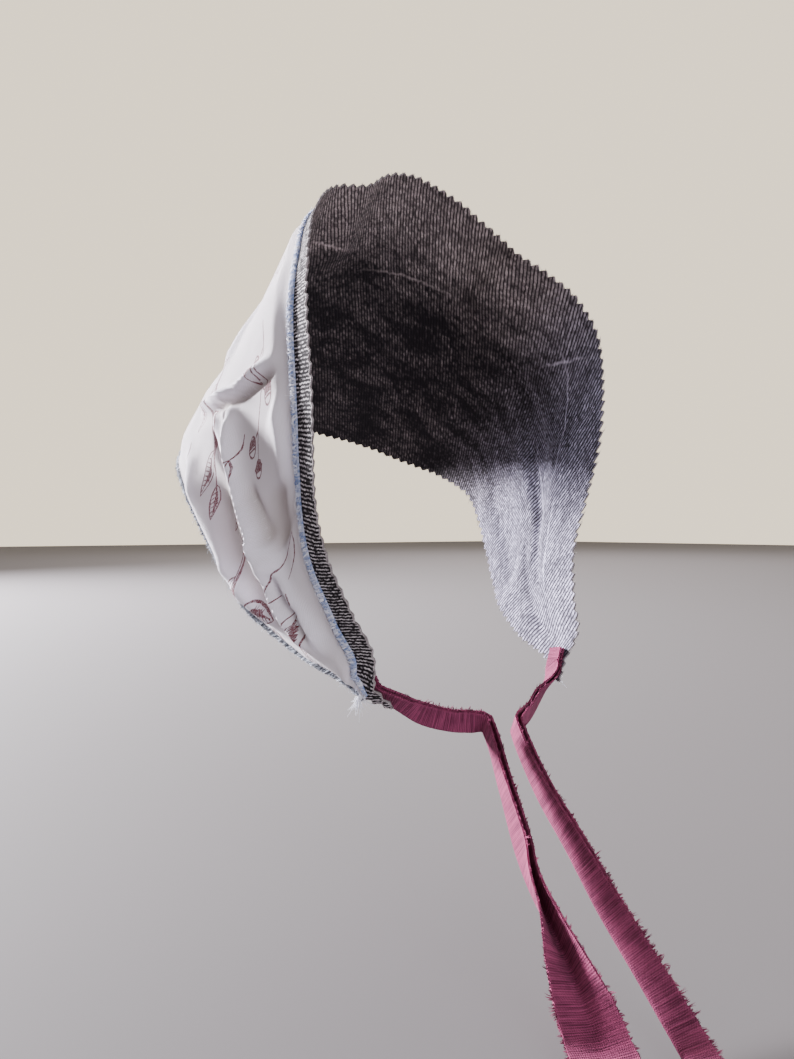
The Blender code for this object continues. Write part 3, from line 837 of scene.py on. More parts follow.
@dataclass(frozen=True)
class DenimFinish:
    """Acid-washed black denim: dark twill with light dashes, and white frayed edges, painted lighter towards
    the front edge and on the far side and darker towards the back, as painted light and painted shade over an
    uneven wash.
    """
    dark: Color = (0.009, 0.007, 0.009)
    inner_light: Color = (0.47, 0.385, 0.385)
    outer_light: Color = (0.84, 0.78, 0.83)
    fray: Color = (0.76, 0.68, 0.70)
    far_side_blue_painted_light: Color = (0.58, 0.55, 0.76)
    inner_pitch: float = 0.0021
    outer_pitch: float = 0.00145
    pitch_growth: float = 0.0014
    slope: float = -0.5
    cloud_size: float = 0.016
    dash: float = 0.0028
    worn_width: float = 0.0011
    wear_reach: float = 0.0006
    relief: float = 0.00035

    def material(self, effects: Effects) -> bpy.types.Material:
        """The finish as a material."""
        material, tree = blank_material("washed_denim", 0.94, 0.04, (0.8, 0.75, 0.8))
        flat = tree.attribute("flat", "Vector")
        parts = tree.parts(flat)
        outer = parts["Z"]
        inner = tree.minus(1.0, outer)
        pitch = tree.plus(self.inner_pitch, tree.times(tree.most(parts["X"], 0.0), self.pitch_growth))
        pitch = tree.plus(tree.times(inner, pitch), tree.times(outer, self.outer_pitch))
        stretched = tree.vector("MULTIPLY", flat, (0.50, 1.5, 1.0))
        cloud = effects.wash.place(tree, stretched, Size=self.cloud_size, Low=0.36, High=0.66)["Cloud"]
        # Painted light and shade: side and front lift the cloudy wash near the front edge and on the far side
        # as painted light, and drop it towards the back of the crown as painted shade
        side = tree.ramp(parts["X"], 0.10, 0.19)
        front = tree.most(tree.ramp(parts["Y"], 0.010, 0.085, 1.0, -1.0),
                          tree.minus(tree.times(side, 1.5), 0.68))
        wash = tree.most(tree.plus(tree.times(cloud, 0.45), tree.times(front, 0.55)), -0.4)
        strip = tree.times(tree.ramp(outer, 0.0, 0.25), tree.ramp(parts["Y"], 0.019, 0.025, 1.0, 0.0))
        broken = tree.minus(0.54, tree.times(wash, 0.12))
        gap = tree.plus(tree.plus(0.54, tree.times(side, 0.14)), tree.times(outer, 0.30))
        dash = tree.minus(self.dash, tree.times(side, 0.0012))
        soft = tree.plus(0.13, tree.times(inner, 0.16))
        twill = effects.twill.place(tree, flat, Pitch=pitch, Slope=self.slope, Dash=dash, Break=broken,
                                    Soft=soft, Gap=gap)
        grain = tree.noise(tree.vector("MULTIPLY", flat, (1.0, 1.8, 1.0)), 800.0, 2.0)
        lit = tree.times(twill["Thread"], tree.ramp(grain, 0.35, 0.65, 0.72, 1.16))
        # On the far side the light threads turn lilac blue, partly an uneven wash and partly painted cool
        # light
        light = tree.mix(tree.ramp(parts["X"], 0.085, 0.19), self.inner_light, self.far_side_blue_painted_light)
        light = tree.mix(strip, light, self.outer_light)
        # bright carries the wash's painted light and shade, as well as its cloud, into the light threads
        bright = tree.most(tree.plus(0.36, tree.times(wash, 0.68)), 0.10)
        bright = tree.times(bright, tree.plus(0.30, tree.times(inner, 0.70)))
        bright = tree.most(bright, tree.times(strip, 0.95))
        thread = tree.plus(tree.times(lit, bright), tree.times(tree.times(wash, inner), 0.08))
        for line in WORN_LINES:
            worn = effects.line.place(tree, flat, Width=self.worn_width,
                                      From=(line.girth_a, line.depth_a, 0.0),
                                      To=(line.girth_b, line.depth_b, 0.0))["Wear"]
            thread = tree.plus(thread, tree.times(worn, line.bright))
        color = tree.mix(tree.math("MINIMUM", thread, 1.0), self.dark, light)
        wear = effects.wear.place(tree, flat, Distance=tree.attribute("edge"), Reach=self.wear_reach)["Wear"]
        worn = tree.times(wear, tree.plus(0.12, tree.times(strip, 0.80)))
        join_shader(tree, tree.mix(worn, color, self.fray), twill["Height"], self.relief)
        return material


@dataclass(frozen=True)
class PrintFinish:
    """Off-white cotton with line-drawn sprigs in reddish brown, with painted shade in the hollows of its
    folds and painted light on their ridges.
    """
    # ridge is painted light on the fold ridges, hollow is painted shade in the fold hollows
    ridge: Color = (0.86, 0.82, 0.92)
    hollow: Color = (0.42, 0.37, 0.355)
    shade: Color = (0.60, 0.54, 0.57)
    ink: Color = (0.13, 0.028, 0.038)
    relief: float = 0.00006

    def material(self, effects: Effects) -> bpy.types.Material:
        """The finish as a material."""
        material, tree = blank_material("printed_cotton", 0.85, 0.15, (0.95, 0.93, 1.0))
        flat = tree.attribute("flat", "Vector")
        weave = effects.weave.place(tree, flat, Across=0.00052, Along=0.00050, Slub=0.35)
        cloud = effects.wash.place(tree, flat, Size=0.028, Low=0.30, High=0.72)["Cloud"]
        # Painted shade and light: the ground runs from warm grey in the fold hollows to pale lavender on the
        # ridges, by the fold's rise
        ground_with_painted_folds = tree.mix(tree.attribute("rise"), self.hollow, self.ridge)
        ground_with_painted_folds = tree.mix(tree.times(cloud, 0.35), ground_with_painted_folds, self.shade)
        ground_with_painted_folds = tree.mix(tree.ramp(weave["Thread"], -0.4, 0.4, 0.0, 0.12), ground_with_painted_folds, self.shade)
        worn = tree.ramp(tree.noise(flat, 1500.0, 2.0), 0.30, 0.62, 0.60, 1.0)
        color = tree.mix(tree.times(tree.attribute("mark"), worn), ground_with_painted_folds, self.ink)
        join_shader(tree, color, weave["Height"], self.relief)
        return material


@dataclass(frozen=True)
class ThreadFinish:
    """Overcast cotton thread, mottled and a little fuzzy."""
    name: str
    light: Color
    deep: Color
    relief: float = 0.00005

    def material(self, effects: Effects) -> bpy.types.Material:
        """The finish as a material."""
        material, tree = blank_material(self.name, 0.80, 0.3, (0.85, 0.9, 1.0))
        flat = tree.attribute("flat", "Vector")
        cloud = effects.wash.place(tree, flat, Size=0.006, Low=0.32, High=0.68)["Cloud"]
        shade = tree.plus(tree.times(tree.attribute("mark"), 0.7), tree.times(cloud, 0.4))
        shade = tree.plus(shade, tree.ramp(tree.noise(flat, 650.0, 2.0), 0.35, 0.65, -0.32, 0.32))
        color = tree.mix(tree.add("Clamp", {0: shade}).outputs[0], self.light, self.deep)
        place = tree.add("TexCoord").outputs["Object"]
        join_shader(tree, color, tree.noise(place, 5000.0, 2.0), self.relief)
        return material


@dataclass(frozen=True)
class FrayFinish:
    """Bare cotton fibres, from off-white to grey."""
    light: Color = (0.72, 0.66, 0.69)
    deep: Color = (0.16, 0.14, 0.16)
    relief: float = 0.00002

    def material(self, effects: Effects) -> bpy.types.Material:
        """The finish as a material."""
        material, tree = blank_material("bare_fibre", 0.9, 0.2, (1.0, 0.95, 1.0))
        flat = tree.attribute("flat", "Vector")
        cloud = effects.wash.place(tree, flat, Size=0.007, Low=0.35, High=0.65)["Cloud"]
        shade = tree.ramp(tree.attribute("mark"), 0.35, 1.0)
        shade = tree.plus(tree.times(shade, 0.7), tree.times(cloud, 0.3))
        join_shader(tree, tree.mix(shade, self.light, self.deep), cloud, self.relief)
        return material


@dataclass(frozen=True)
class TieFinish:
    """Torn burgundy cotton, with its weft showing as lines across the strip."""
    deep: Color = (0.080, 0.014, 0.038)
    bright: Color = (0.34, 0.066, 0.155)
    wear_reach: float = 0.0012
    relief: float = 0.00010

    def material(self, effects: Effects) -> bpy.types.Material:
        """The finish as a material."""
        material, tree = blank_material("burgundy_cotton", 0.92, 0.05, (1.0, 0.6, 0.75))
        flat = tree.attribute("flat", "Vector")
        weave = effects.weave.place(tree, flat, Across=0.00060, Along=0.00080, Slub=1.5)
        cloud = effects.wash.place(tree, flat, Size=0.012, Low=0.30, High=0.70)["Cloud"]
        shade = tree.plus(tree.ramp(weave["Thread"], -0.45, 0.45), tree.times(tree.minus(cloud, 0.5), 0.35))
        color = tree.mix(shade, self.deep, self.bright)
        wear = effects.wear.place(tree, flat, Distance=tree.attribute("edge"), Reach=self.wear_reach)["Wear"]
        color = tree.mix(tree.times(wear, 0.5), color, self.bright)
        join_shader(tree, color, weave["Height"], self.relief)
        return material


class Stroke(NamedTuple):
    """One inked line on the flat cloth: its points, and its width at each."""
    points: Array
    widths: Array

    def shape(self) -> Array:
        """The line's outline."""
        along = unit(np.gradient(self.points, axis=0))
        side = np.stack([-along[:, 1], along[:, 0]], axis=-1) * self.widths[:, None] / 2
        return np.concatenate([self.points - side, (self.points + side)[::-1]])

    def cover(self, places: Array, marked: Array) -> None:
        """Mark the places that lie under the line.

        Args:
            places: points of the flat cloth.
            marked: whether each is inked, changed here.
        """
        reach = self.widths.max() / 2
        low, high = self.points.min(0) - reach, self.points.max(0) + reach
        near = np.flatnonzero(((places > low) & (places < high)).all(1))
        start, line = self.points[:-1], np.diff(self.points, axis=0)
        share = ((places[near, None] - start) * line).sum(-1) / (line ** 2).sum(-1)
        share = share.clip(0.0, 1.0)
        away = np.linalg.norm(places[near, None] - start - line * share[..., None], axis=-1)
        half = (self.widths[:-1] * (1 - share) + self.widths[1:] * share) / 2
        marked[near] |= (away < half * 1.02).any(1)


@dataclass(frozen=True)
class FlatCut:
    """A triangulated piece of flat cloth."""
    points: Array
    faces: Array
    marked: Array
    rim: Array


def cut_flat(outline: Array, strokes: Sequence[Stroke], fill: Array) -> FlatCut:
    """Triangulate the inside of an outline.

    Args:
        outline: the outline's points, in order.
        strokes: lines printed on the cloth, whose edges the triangles follow.
        fill: points inside.

    Returns:
        The cut, with its rim as a loop of point numbers in order.
    """
    parts, edges, count = [outline], [], len(outline)
    for stroke in strokes:
        shape = stroke.shape()
        numbers = np.arange(count, count + len(shape))
        edges.extend(np.stack([numbers, np.roll(numbers, -1)], axis=-1).tolist())
        parts.append(shape)
        count += len(shape)
    points = [Vector(point) for point in np.concatenate([*parts, fill]).tolist()]
    made = geometry.delaunay_2d_cdt(points, edges, [list(range(len(outline)))], 1, 1e-7, True)
    faces = np.array([face for face, source in zip(made[2], made[5]) if source])
    used = np.unique(faces)
    renumber = np.full(len(made[0]), -1)
    renumber[used] = np.arange(len(used))
    faces = renumber[faces]
    flat = np.array([made[0][index] for index in used])
    a, b, c = (flat[faces[:, k]] for k in range(3))
    turned = (b - a)[:, 0] * (c - a)[:, 1] - (b - a)[:, 1] * (c - a)[:, 0] < 0
    faces[turned] = faces[turned][:, ::-1]
    marked = np.zeros(len(faces), bool)
    for stroke in strokes:
        stroke.cover((a + b + c) / 3, marked)
    sides = np.concatenate([faces[:, [0, 1]], faces[:, [1, 2]], faces[:, [2, 0]]])
    known = {(low, high) for low, high in sides.tolist()}
    following = {low: high for low, high in known if (high, low) not in known}
    rim = [next(iter(following))]
    while following[rim[-1]] != rim[0]:
        rim.append(following[rim[-1]])
    return FlatCut(flat, faces, marked, np.array(rim))


def fill_points(low: Array, high: Array, step: float, keep: Line) -> Array:
    """Evenly spread points in a box of flat cloth.

    Args:
        low: the box's lowest corner.
        high: the box's highest corner.
        step: how far apart the points are.
        keep: says which points to keep.

    Returns:
        The points kept.
    """
    rows = np.arange(low[1], high[1], step * 0.866)
    points = []
    for index, row in enumerate(rows):
        across = np.arange(low[0] + (index % 2) * step / 2, high[0], step)
        points.append(np.stack([across, np.full_like(across, row)], axis=-1))
    points = np.concatenate(points)
    return points[keep(points)]


class ClothLayer:
    """One layer of the bonnet: a closed thin sheet on the bent leaf."""

    def __init__(self, name: str, surface: LeafSurface, low: float, high: float, step: float,
                 puff: Callable[[Array], tuple[Array, Array]] | None = None) -> None:
        """Name the layer and place its two faces.

        Args:
            name: the piece's name.
            surface: the bent leaf.
            low: height of the layer's inner face.
            high: height of its outer face.
            step: how far apart the points inside it are.
            puff: how far the layer stands off what lies under it, and its rise from 0 to 1, at points of
                the flat cloth.
        """
        self.name, self.surface, self.low, self.high, self.step = name, surface, low, high, step
        self.puff = puff or (lambda flat: (np.zeros(len(flat)), np.full(len(flat), 0.5)))
        self.coarser = 1.8 if puff else 1.0

    def build(self, outline: Array, strokes: Sequence[Stroke], inside: Line, edge: Line,
              material: bpy.types.Material) -> bpy.types.Object:
        """Cut the layer, bend it and close it.

        Args:
            outline: the layer's outline on the flat cloth.
            strokes: lines printed on its outer face.
            inside: says which points lie inside the outline and clear of it.
            edge: distance of each point from the raw edge.
            material: the cloth.

        Returns:
            The layer's object.
        """
        fill = fill_points(outline.min(0), outline.max(0), self.step, inside)
        outer = cut_flat(outline, strokes, fill)
        rim = outer.points[outer.rim]
        inner = cut_flat(rim, [], fill_points(rim.min(0), rim.max(0), self.step * self.coarser, inside))
        start = int(np.argmin(np.linalg.norm(inner.points[inner.rim] - rim[0], axis=1)))
        inner_rim = np.roll(inner.rim, -start)
        maker = MeshMaker(self.name)
        first = self.add_face(maker, outer.points, outer.faces, self.high, 1.0, edge(outer.points))
        second = self.add_face(maker, inner.points, inner.faces[:, ::-1], self.low, 0.0, edge(inner.points))
        low, high = inner_rim + second, outer.rim + first
        maker.faces.extend(np.stack([high, low, np.roll(low, -1), np.roll(high, -1)], axis=-1).tolist())
        item = maker.finish([material])
        self.mark_faces(item, outer.marked)
        return item

    def add_face(self, maker: MeshMaker, flat: Array, faces: Array, height: float, side: float,
                 edge: Array) -> int:
        """Add one face of the sheet and return the number of its first point."""
        sided = np.column_stack([flat, np.full(len(flat), side)])
        puff, rise = self.puff(flat)
        return maker.add(self.surface.at(flat, height + puff), faces, sided, edge, 0.0, rise)

    @staticmethod
    def mark_faces(item: bpy.types.Object, marked: Array) -> None:
        """Keep the print on the sheet's faces, so that its edges stay crisp."""
        mesh = item.data
        mesh.attributes.remove(mesh.attributes["mark"])
        layer = mesh.attributes.new("mark", "FLOAT", "FACE")
        values = np.zeros(len(mesh.polygons), np.float32)
        values[:len(marked)] = marked
        layer.data.foreach_set("value", values)


@dataclass
class DenimLining:
    """The denim layer, pinked along both edges."""
    surface: LeafSurface
    samples_a_tooth: int = 8
    step: float = 0.0024
    clear: float = 0.0007
    seed: int = 11

    def pinked(self, edge: Edge) -> Array:
        """The saw-toothed line of one edge on the flat cloth, from the wearer's right to the left."""
        surface, sizes = self.surface, self.surface.sizes
        depth = (lambda girth: np.zeros_like(girth)) if edge is Edge.FRONT else surface.width
        samples = self.samples_a_tooth
        girths = surface.walk(depth, surface.reach, sizes.tooth_pitch / samples)
        random = np.random.default_rng(self.seed + (edge is Edge.BACK))
        phase = np.arange(len(girths)) / samples
        tooth = phase.astype(int)
        size = random.uniform(0.72, 1.12, tooth[-1] + 2)[tooth]
        peak = 1.0 - np.abs(2.0 * (phase % 1.0) - 1.0)
        peak = np.minimum(peak * 1.12, 0.93 + 0.07 * peak)
        slant = np.minimum(surface.column(girths)[4 if edge is Edge.FRONT else 5], 1.5)
        folded_back = smooth_step((-girths - 0.14) / 0.06) * (edge is Edge.FRONT)
        notch = sizes.tooth_depth * (1.0 - peak) * size * slant * (1.0 - 0.45 * folded_back)
        notch = np.minimum(notch, 0.35 * surface.width(girths))
        place = notch if edge is Edge.FRONT else surface.width(girths) - notch
        return np.stack([girths, place], axis=-1)

    def dress(self, material: bpy.types.Material) -> bpy.types.Object:
        """Build the lining in its cloth."""
        surface, wall = self.surface, self.surface.sizes.denim_wall
        front, back = self.pinked(Edge.FRONT), self.pinked(Edge.BACK)
        outline = np.concatenate([front, back[::-1]])

        def front_line(girth: Array) -> Array:
            return np.interp(girth, front[:, 0], front[:, 1])

        def back_line(girth: Array) -> Array:
            return np.interp(girth, back[:, 0], back[:, 1])

        def inside(points: Array) -> Array:
            return ((points[:, 1] > front_line(points[:, 0]) + self.clear)
                    & (points[:, 1] < back_line(points[:, 0]) - self.clear)
                    & (np.abs(points[:, 0]) < surface.reach - self.clear))

        def edge(points: Array) -> Array:
            return np.minimum(points[:, 1] - front_line(points[:, 0]),
                              back_line(points[:, 0]) - points[:, 1]).clip(0.0)

        layer = ClothLayer("lining_cloth", surface, 0.0, wall, self.step)
        return layer.build(outline, [], inside, edge, material)


class Motif(Enum):
    """The figures of the print."""
    BRANCH = "branch"
    LEAF = "leaf"
    PODS = "pods"
    TENDRIL = "tendril"


class Placing(NamedTuple):
    """Where one figure of the print stands on the flat cloth, in millimetres and degrees."""
    motif: Motif
    girth: float
    depth: float
    turn: float
    size: float


@dataclass
class SprigPrint:
    """A line print of sprigs, which the cloth's faces follow."""
    line: float = 0.00092
    seed: int = 23

    def __post_init__(self) -> None:
        """Start the print's own random numbers."""
        self.random = np.random.default_rng(self.seed)

    def stroke(self, points: Array, width: float, taper: float = 0.5) -> Stroke:
        """A hand-drawn line through points.

        Args:
            points: the points that it runs through.
            width: its greatest width.
            taper: how much of the width its two ends keep.

        Returns:
            The line, a little uneven in its course and width.
        """
        points = np.asarray(points, float)
        run = running_length(points)
        count = max(4, int(run[-1] / 0.0011))
        even = np.linspace(0.0, run[-1], count)
        line = (curve_through if len(points) > 2 else read_line)(points, run, even)
        line += self.random.normal(0.0, 0.00006, line.shape)
        share = even / run[-1]
        widths = width * (taper + (1 - taper) * np.sin(math.pi * share) ** 0.6)
        return Stroke(line, widths * self.random.uniform(0.75, 1.2, count))

    def leaf(self, base: Array, turn: float, length: float, breadth: float, bend: float) -> list[Stroke]:
        """A leaf with a bent midrib, combed on one half and dark along the middle.

        Args:
            base: where its stalk begins.
            turn: which way it points, in radians.
            length: its length.
            breadth: its breadth.
            bend: how far its tip swings aside, as a share of the length.

        Returns:
            The leaf's lines.
        """
        shares = np.linspace(0.0, 1.0, 13)
        rib = np.stack([bend * length * shares ** 2, length * shares], axis=-1)
        half = 0.5 * breadth * np.sin(math.pi * shares ** 0.8) ** 0.85
        left = rib - np.stack([half * 0.95, 0.08 * half], axis=-1)
        right = rib + np.stack([half * 1.05, -0.05 * half], axis=-1)
        lines = [self.stroke(left, self.line), self.stroke(right, self.line * 1.1),
                 self.stroke(rib[:-1], self.line * 0.9)]
        for share in np.linspace(0.20, 0.86, max(6, int(length / 0.0022))):
            start, end = read_line(rib, shares, share), read_line(right, shares, share + 0.07)
            lines.append(self.stroke([start, start + (end - start) * self.random.uniform(0.72, 0.96)],
                                     self.line * 0.65))
        for share in np.linspace(0.24, 0.74, max(7, int(length / 0.0016))):
            start, end = read_line(rib, shares, share), read_line(left, shares, share + 0.10)
            reach = self.random.uniform(0.35, 0.62) * math.sin(math.pi * (share - 0.18) / 0.64)
            lines.append(self.stroke([start, start + (end - start) * reach], self.line * 1.5, 0.8))
        return [self.turned(line, base, turn) for line in lines]

    @staticmethod
    def turned(line: Stroke, base: Array, turn: float) -> Stroke:
        """The line moved to its base and turned; 0 points away from the front edge."""
        cos, sin = math.cos(turn), math.sin(turn)
        points = line.points @ np.array([[cos, sin], [-sin, cos]])
        return Stroke(points + base, line.widths)

    def branch(self) -> list[Stroke]:
        """A stem drawn with two lines, shaded on one side, with leaves in turn and a small tip."""
        stem = np.array([[0, 0], [0.003, 0.014], [0.002, 0.030], [-0.003, 0.046], [-0.004, 0.060]])
        inner = stem + np.array([[0.0022, 0], [0.0019, 0], [0.0015, 0], [0.0010, 0], [0.0003, 0.002]])
        lines = [self.stroke(stem, self.line), self.stroke(inner, self.line)]
        lines.append(self.stroke(stem[:4] + (0.0005, 0.001), self.line * 2.0, 0.3))
        lines += self.leaf(stem[1] + (0.002, 0), -0.95, 0.025, 0.0105, -0.16)
        lines += self.leaf(stem[2], 0.85, 0.021, 0.0090, 0.20)
        lines += self.leaf(stem[3] + (0.001, 0), -0.60, 0.018, 0.0078, -0.12)
        lines += self.leaf(stem[4], 0.15, 0.013, 0.0060, 0.10)
        return lines

    def pods(self) -> list[Stroke]:
        """A thin stem with banded seed pods on short stalks."""
        stem = np.array([[0, 0], [-0.002, 0.012], [0.001, 0.026], [0.005, 0.040], [0.006, 0.050]])
        lines = [self.stroke(stem, self.line)]
        for index, (side, size) in enumerate(((1, 0.0050), (-1, 0.0044), (1, 0.0038), (0, 0.0032))):
            root = stem[index + 1]
            centre = root + np.array([side * size * 1.5, size * 1.1])
            turns = np.linspace(0.0, 2 * math.pi, 15)
            ring = centre + np.stack([0.72 * size * np.cos(turns), size * np.sin(turns)], axis=-1)
            lines.append(self.stroke(root + (centre - root) * np.array([[0.0], [0.25], [0.45]]), self.line))
            lines.append(self.stroke(ring, self.line * 0.9, 0.9))
            for band in (-0.45, -0.12, 0.30):
                reach = 0.62 * size * math.cos(band)
                across = np.array([[-reach, band * size], [0, band * size - 0.0004], [reach, band * size]])
                lines.append(self.stroke(centre + across, self.line * (2.4 if band < 0 else 1.1), 0.8))
        return lines

    def tendril(self) -> list[Stroke]:
        """A curling thread with a forked end."""
        turns = np.linspace(0.0, 1.45 * math.pi, 12)
        size = 0.0062 * (1.0 - 0.12 * turns)
        curl = np.stack([size * np.sin(turns), 0.016 - size * np.cos(turns)], axis=-1)
        lines = [self.stroke(np.vstack([[-0.003, 0.0], [-0.001, 0.005], curl]), self.line * 0.9)]
        lines.append(self.stroke([[-0.003, 0.0], [-0.0065, 0.007], [-0.006, 0.014]], self.line * 0.8))
        return lines

    def draw(self, placings: Sequence[Placing]) -> list[Stroke]:
        """Every line of the print.

        Args:
            placings: where the figures stand.

        Returns:
            The lines on the flat cloth.
        """
        strokes = []
        for placing in placings:
            if placing.motif is Motif.LEAF:
                lines = self.leaf(np.zeros(2), 0.0, 0.027, 0.0125, 0.22)
                lines.append(self.stroke([[0, 0], [-0.001, -0.004], [0.001, -0.009]], self.line))
            else:
                figures = {Motif.BRANCH: self.branch, Motif.PODS: self.pods, Motif.TENDRIL: self.tendril}
                lines = figures[placing.motif]()
            place = np.array([placing.girth, placing.depth]) / 1000
            for line in lines:
                line = Stroke(line.points * placing.size, line.widths)
                strokes.append(self.turned(line, place, math.radians(placing.turn)))
        return strokes


PRINT_PLACES = (
    Placing(Motif.BRANCH, -116, 84, 74, 1.00), Placing(Motif.LEAF, -182, 62, 52, 1.00),
    Placing(Motif.PODS, -140, 36, 84, 1.00), Placing(Motif.BRANCH, -204, 72, 104, 1.00),
    Placing(Motif.TENDRIL, -222, 30, 70, 1.10), Placing(Motif.LEAF, -252, 30, 80, 0.90),
    Placing(Motif.PODS, -52, 44, 35, 1.00), Placing(Motif.BRANCH, -34, 140, 120, 1.00),
    Placing(Motif.LEAF, -92, 122, 80, 1.00), Placing(Motif.TENDRIL, -96, 46, 160, 1.00),
    Placing(Motif.LEAF, -150, 124, 70, 1.00), Placing(Motif.LEAF, -6, 84, 20, 1.05),
    Placing(Motif.BRANCH, 30, 44, 300, 1.00), Placing(Motif.PODS, 20, 122, 330, 1.00),
    Placing(Motif.LEAF, 66, 122, 250, 1.00), Placing(Motif.BRANCH, 104, 60, 290, 1.00),
    Placing(Motif.TENDRIL, 96, 150, 270, 1.00), Placing(Motif.PODS, 126, 112, 255, 1.00),
    Placing(Motif.LEAF, 150, 36, 280, 1.00), Placing(Motif.BRANCH, 190, 46, 275, 1.00),
    Placing(Motif.LEAF, 206, 84, 300, 1.00), Placing(Motif.PODS, 244, 30, 270, 1.00),
    Placing(Motif.TENDRIL, 168, 116, 240, 1.00),
)


@dataclass
class PrintCover:
    """The printed layer, which stops short of the denim's edges."""
    surface: LeafSurface
    step: float = 0.0015
    rim_step: float = 0.0014
    clear: float = 0.0006
    ease: float = 0.0030
    depth: float = 1.75
    # fold height over which the painted light runs from hollow shade to ridge light
    painted_light_span: float = 0.0075
    sewn_reach: float = 0.009
    sewn_share: float = 0.24
    back_reach: float = 1.8
    corner_reach: float = 0.05

    def outline(self) -> Array:
        """The cover's outline on the flat cloth."""
        surface = self.surface
        front = surface.walk(lambda girth: surface.laps(girth)[1], surface.half_girth, self.rim_step)
        back = surface.walk(lambda girth: surface.laps(girth)[2], surface.half_girth, self.rim_step)[::-1]
        return np.concatenate([np.stack([front, surface.laps(front)[1]], axis=-1),
                               np.stack([back, surface.laps(back)[2]], axis=-1)])

    def dress(self, strokes: Sequence[Stroke], material: bpy.types.Material) -> bpy.types.Object:
        """Build the cover in its printed cloth."""
        surface, sizes = self.surface, self.surface.sizes

        def edge(points: Array) -> Array:
            lines = surface.laps(points[:, 0])
            return np.minimum(points[:, 1] - lines[1], lines[2] - points[:, 1]).clip(0.0)

        def inside(points: Array) -> Array:
            corner = surface.half_girth - self.clear
            return (edge(points) > self.clear) & (np.abs(points[:, 0]) < corner)

        def puff(points: Array) -> tuple[Array, Array]:
            folds = surface.creased(points, COVER_CREASES) * self.depth
            lines = surface.laps(points[:, 0])
            reach = np.minimum(self.sewn_reach, self.sewn_share * (lines[2] - lines[1]))
            sewn = np.minimum(points[:, 1] - lines[1], (lines[2] - points[:, 1]) / self.back_reach) / reach
            corner = (1.0 - np.abs(points[:, 0]) / surface.half_girth) / self.corner_reach
            height = np.maximum(self.ease + folds, 0.0) * smooth_step(np.minimum(sewn, corner))
            # The rise, 0 in a fold's hollow and 1 on its ridge, from which the printed cotton paints shade
            # and light
            return height, smooth_step(0.5 + folds / self.painted_light_span)

        low = sizes.denim_wall + sizes.layer_gap
        layer = ClothLayer("cover_cloth", surface, low, low + sizes.cotton_wall, self.step, puff)
        return layer.build(self.outline(), strokes, inside, edge, material)


@dataclass
class LiningFray:
    """The light fibres that stand out of the denim's pinked edges."""
    surface: LeafSurface
    lining: DenimLining
    spacing: float = 0.00042
    seed: int = 41

    def dress(self, material: bpy.types.Material) -> bpy.types.Object:
        """Build the fibres."""
        random = np.random.default_rng(self.seed)
        surface, maker = self.surface, StrandMaker("lining_fray")
        wall = surface.sizes.denim_wall
        for edge, away in ((Edge.FRONT, -1.0), (Edge.BACK, 1.0)):
            line = self.lining.pinked(edge)
            run = running_length(line)
            place = np.sort(random.uniform(0.0, run[-1], int(run[-1] / self.spacing)))
            base = read_line(line, run, place)
            count = len(base)
            light = smooth_step((-base[:, 0] - 0.05) / 0.05) * (edge is Edge.FRONT)
            length = random.gamma(1.8, 0.00032, count).clip(0.00015, 0.0022) * (1.0 - 0.35 * light)
            lean = random.normal(0.5 * away, 0.55, count)
            reach = np.stack([lean * length, away * length], axis=-1)
            shares = np.array([-0.5, 0.1, 0.6, 1.0])
            flat = base[:, None] + reach[:, None] * shares[:, None]
            flat[..., 0] = flat[..., 0].clip(-surface.reach, surface.reach)
            flat_in = flat.copy()
            flat_in[..., 1] = flat_in[..., 1].clip(0.0, surface.width(flat[..., 0]))
            beyond = (flat - flat_in)[..., 1:]
            step = unit(surface.at(flat_in + (0.0, 0.0002), 0.0) - surface.at(flat_in - (0.0, 0.0002), 0.0))
            height = wall * random.uniform(0.1, 0.95, (count, 1)) + shares * random.normal(
                0.0, 0.3, (count, 1)) * length[:, None]
            lines = surface.at(flat_in, height) + step * beyond
            radii = np.array([0.00011, 0.00011, 0.00008, 0.00003])
            shade = random.uniform(0.5, 1.2, count) * (1.0 - light) + random.uniform(0.0, 0.6, count) * light
            maker.strands(lines, radii, surface.outward(flat_in[:, 0]), base, shade, sides=3)
        return maker.finish([material], 80.0)


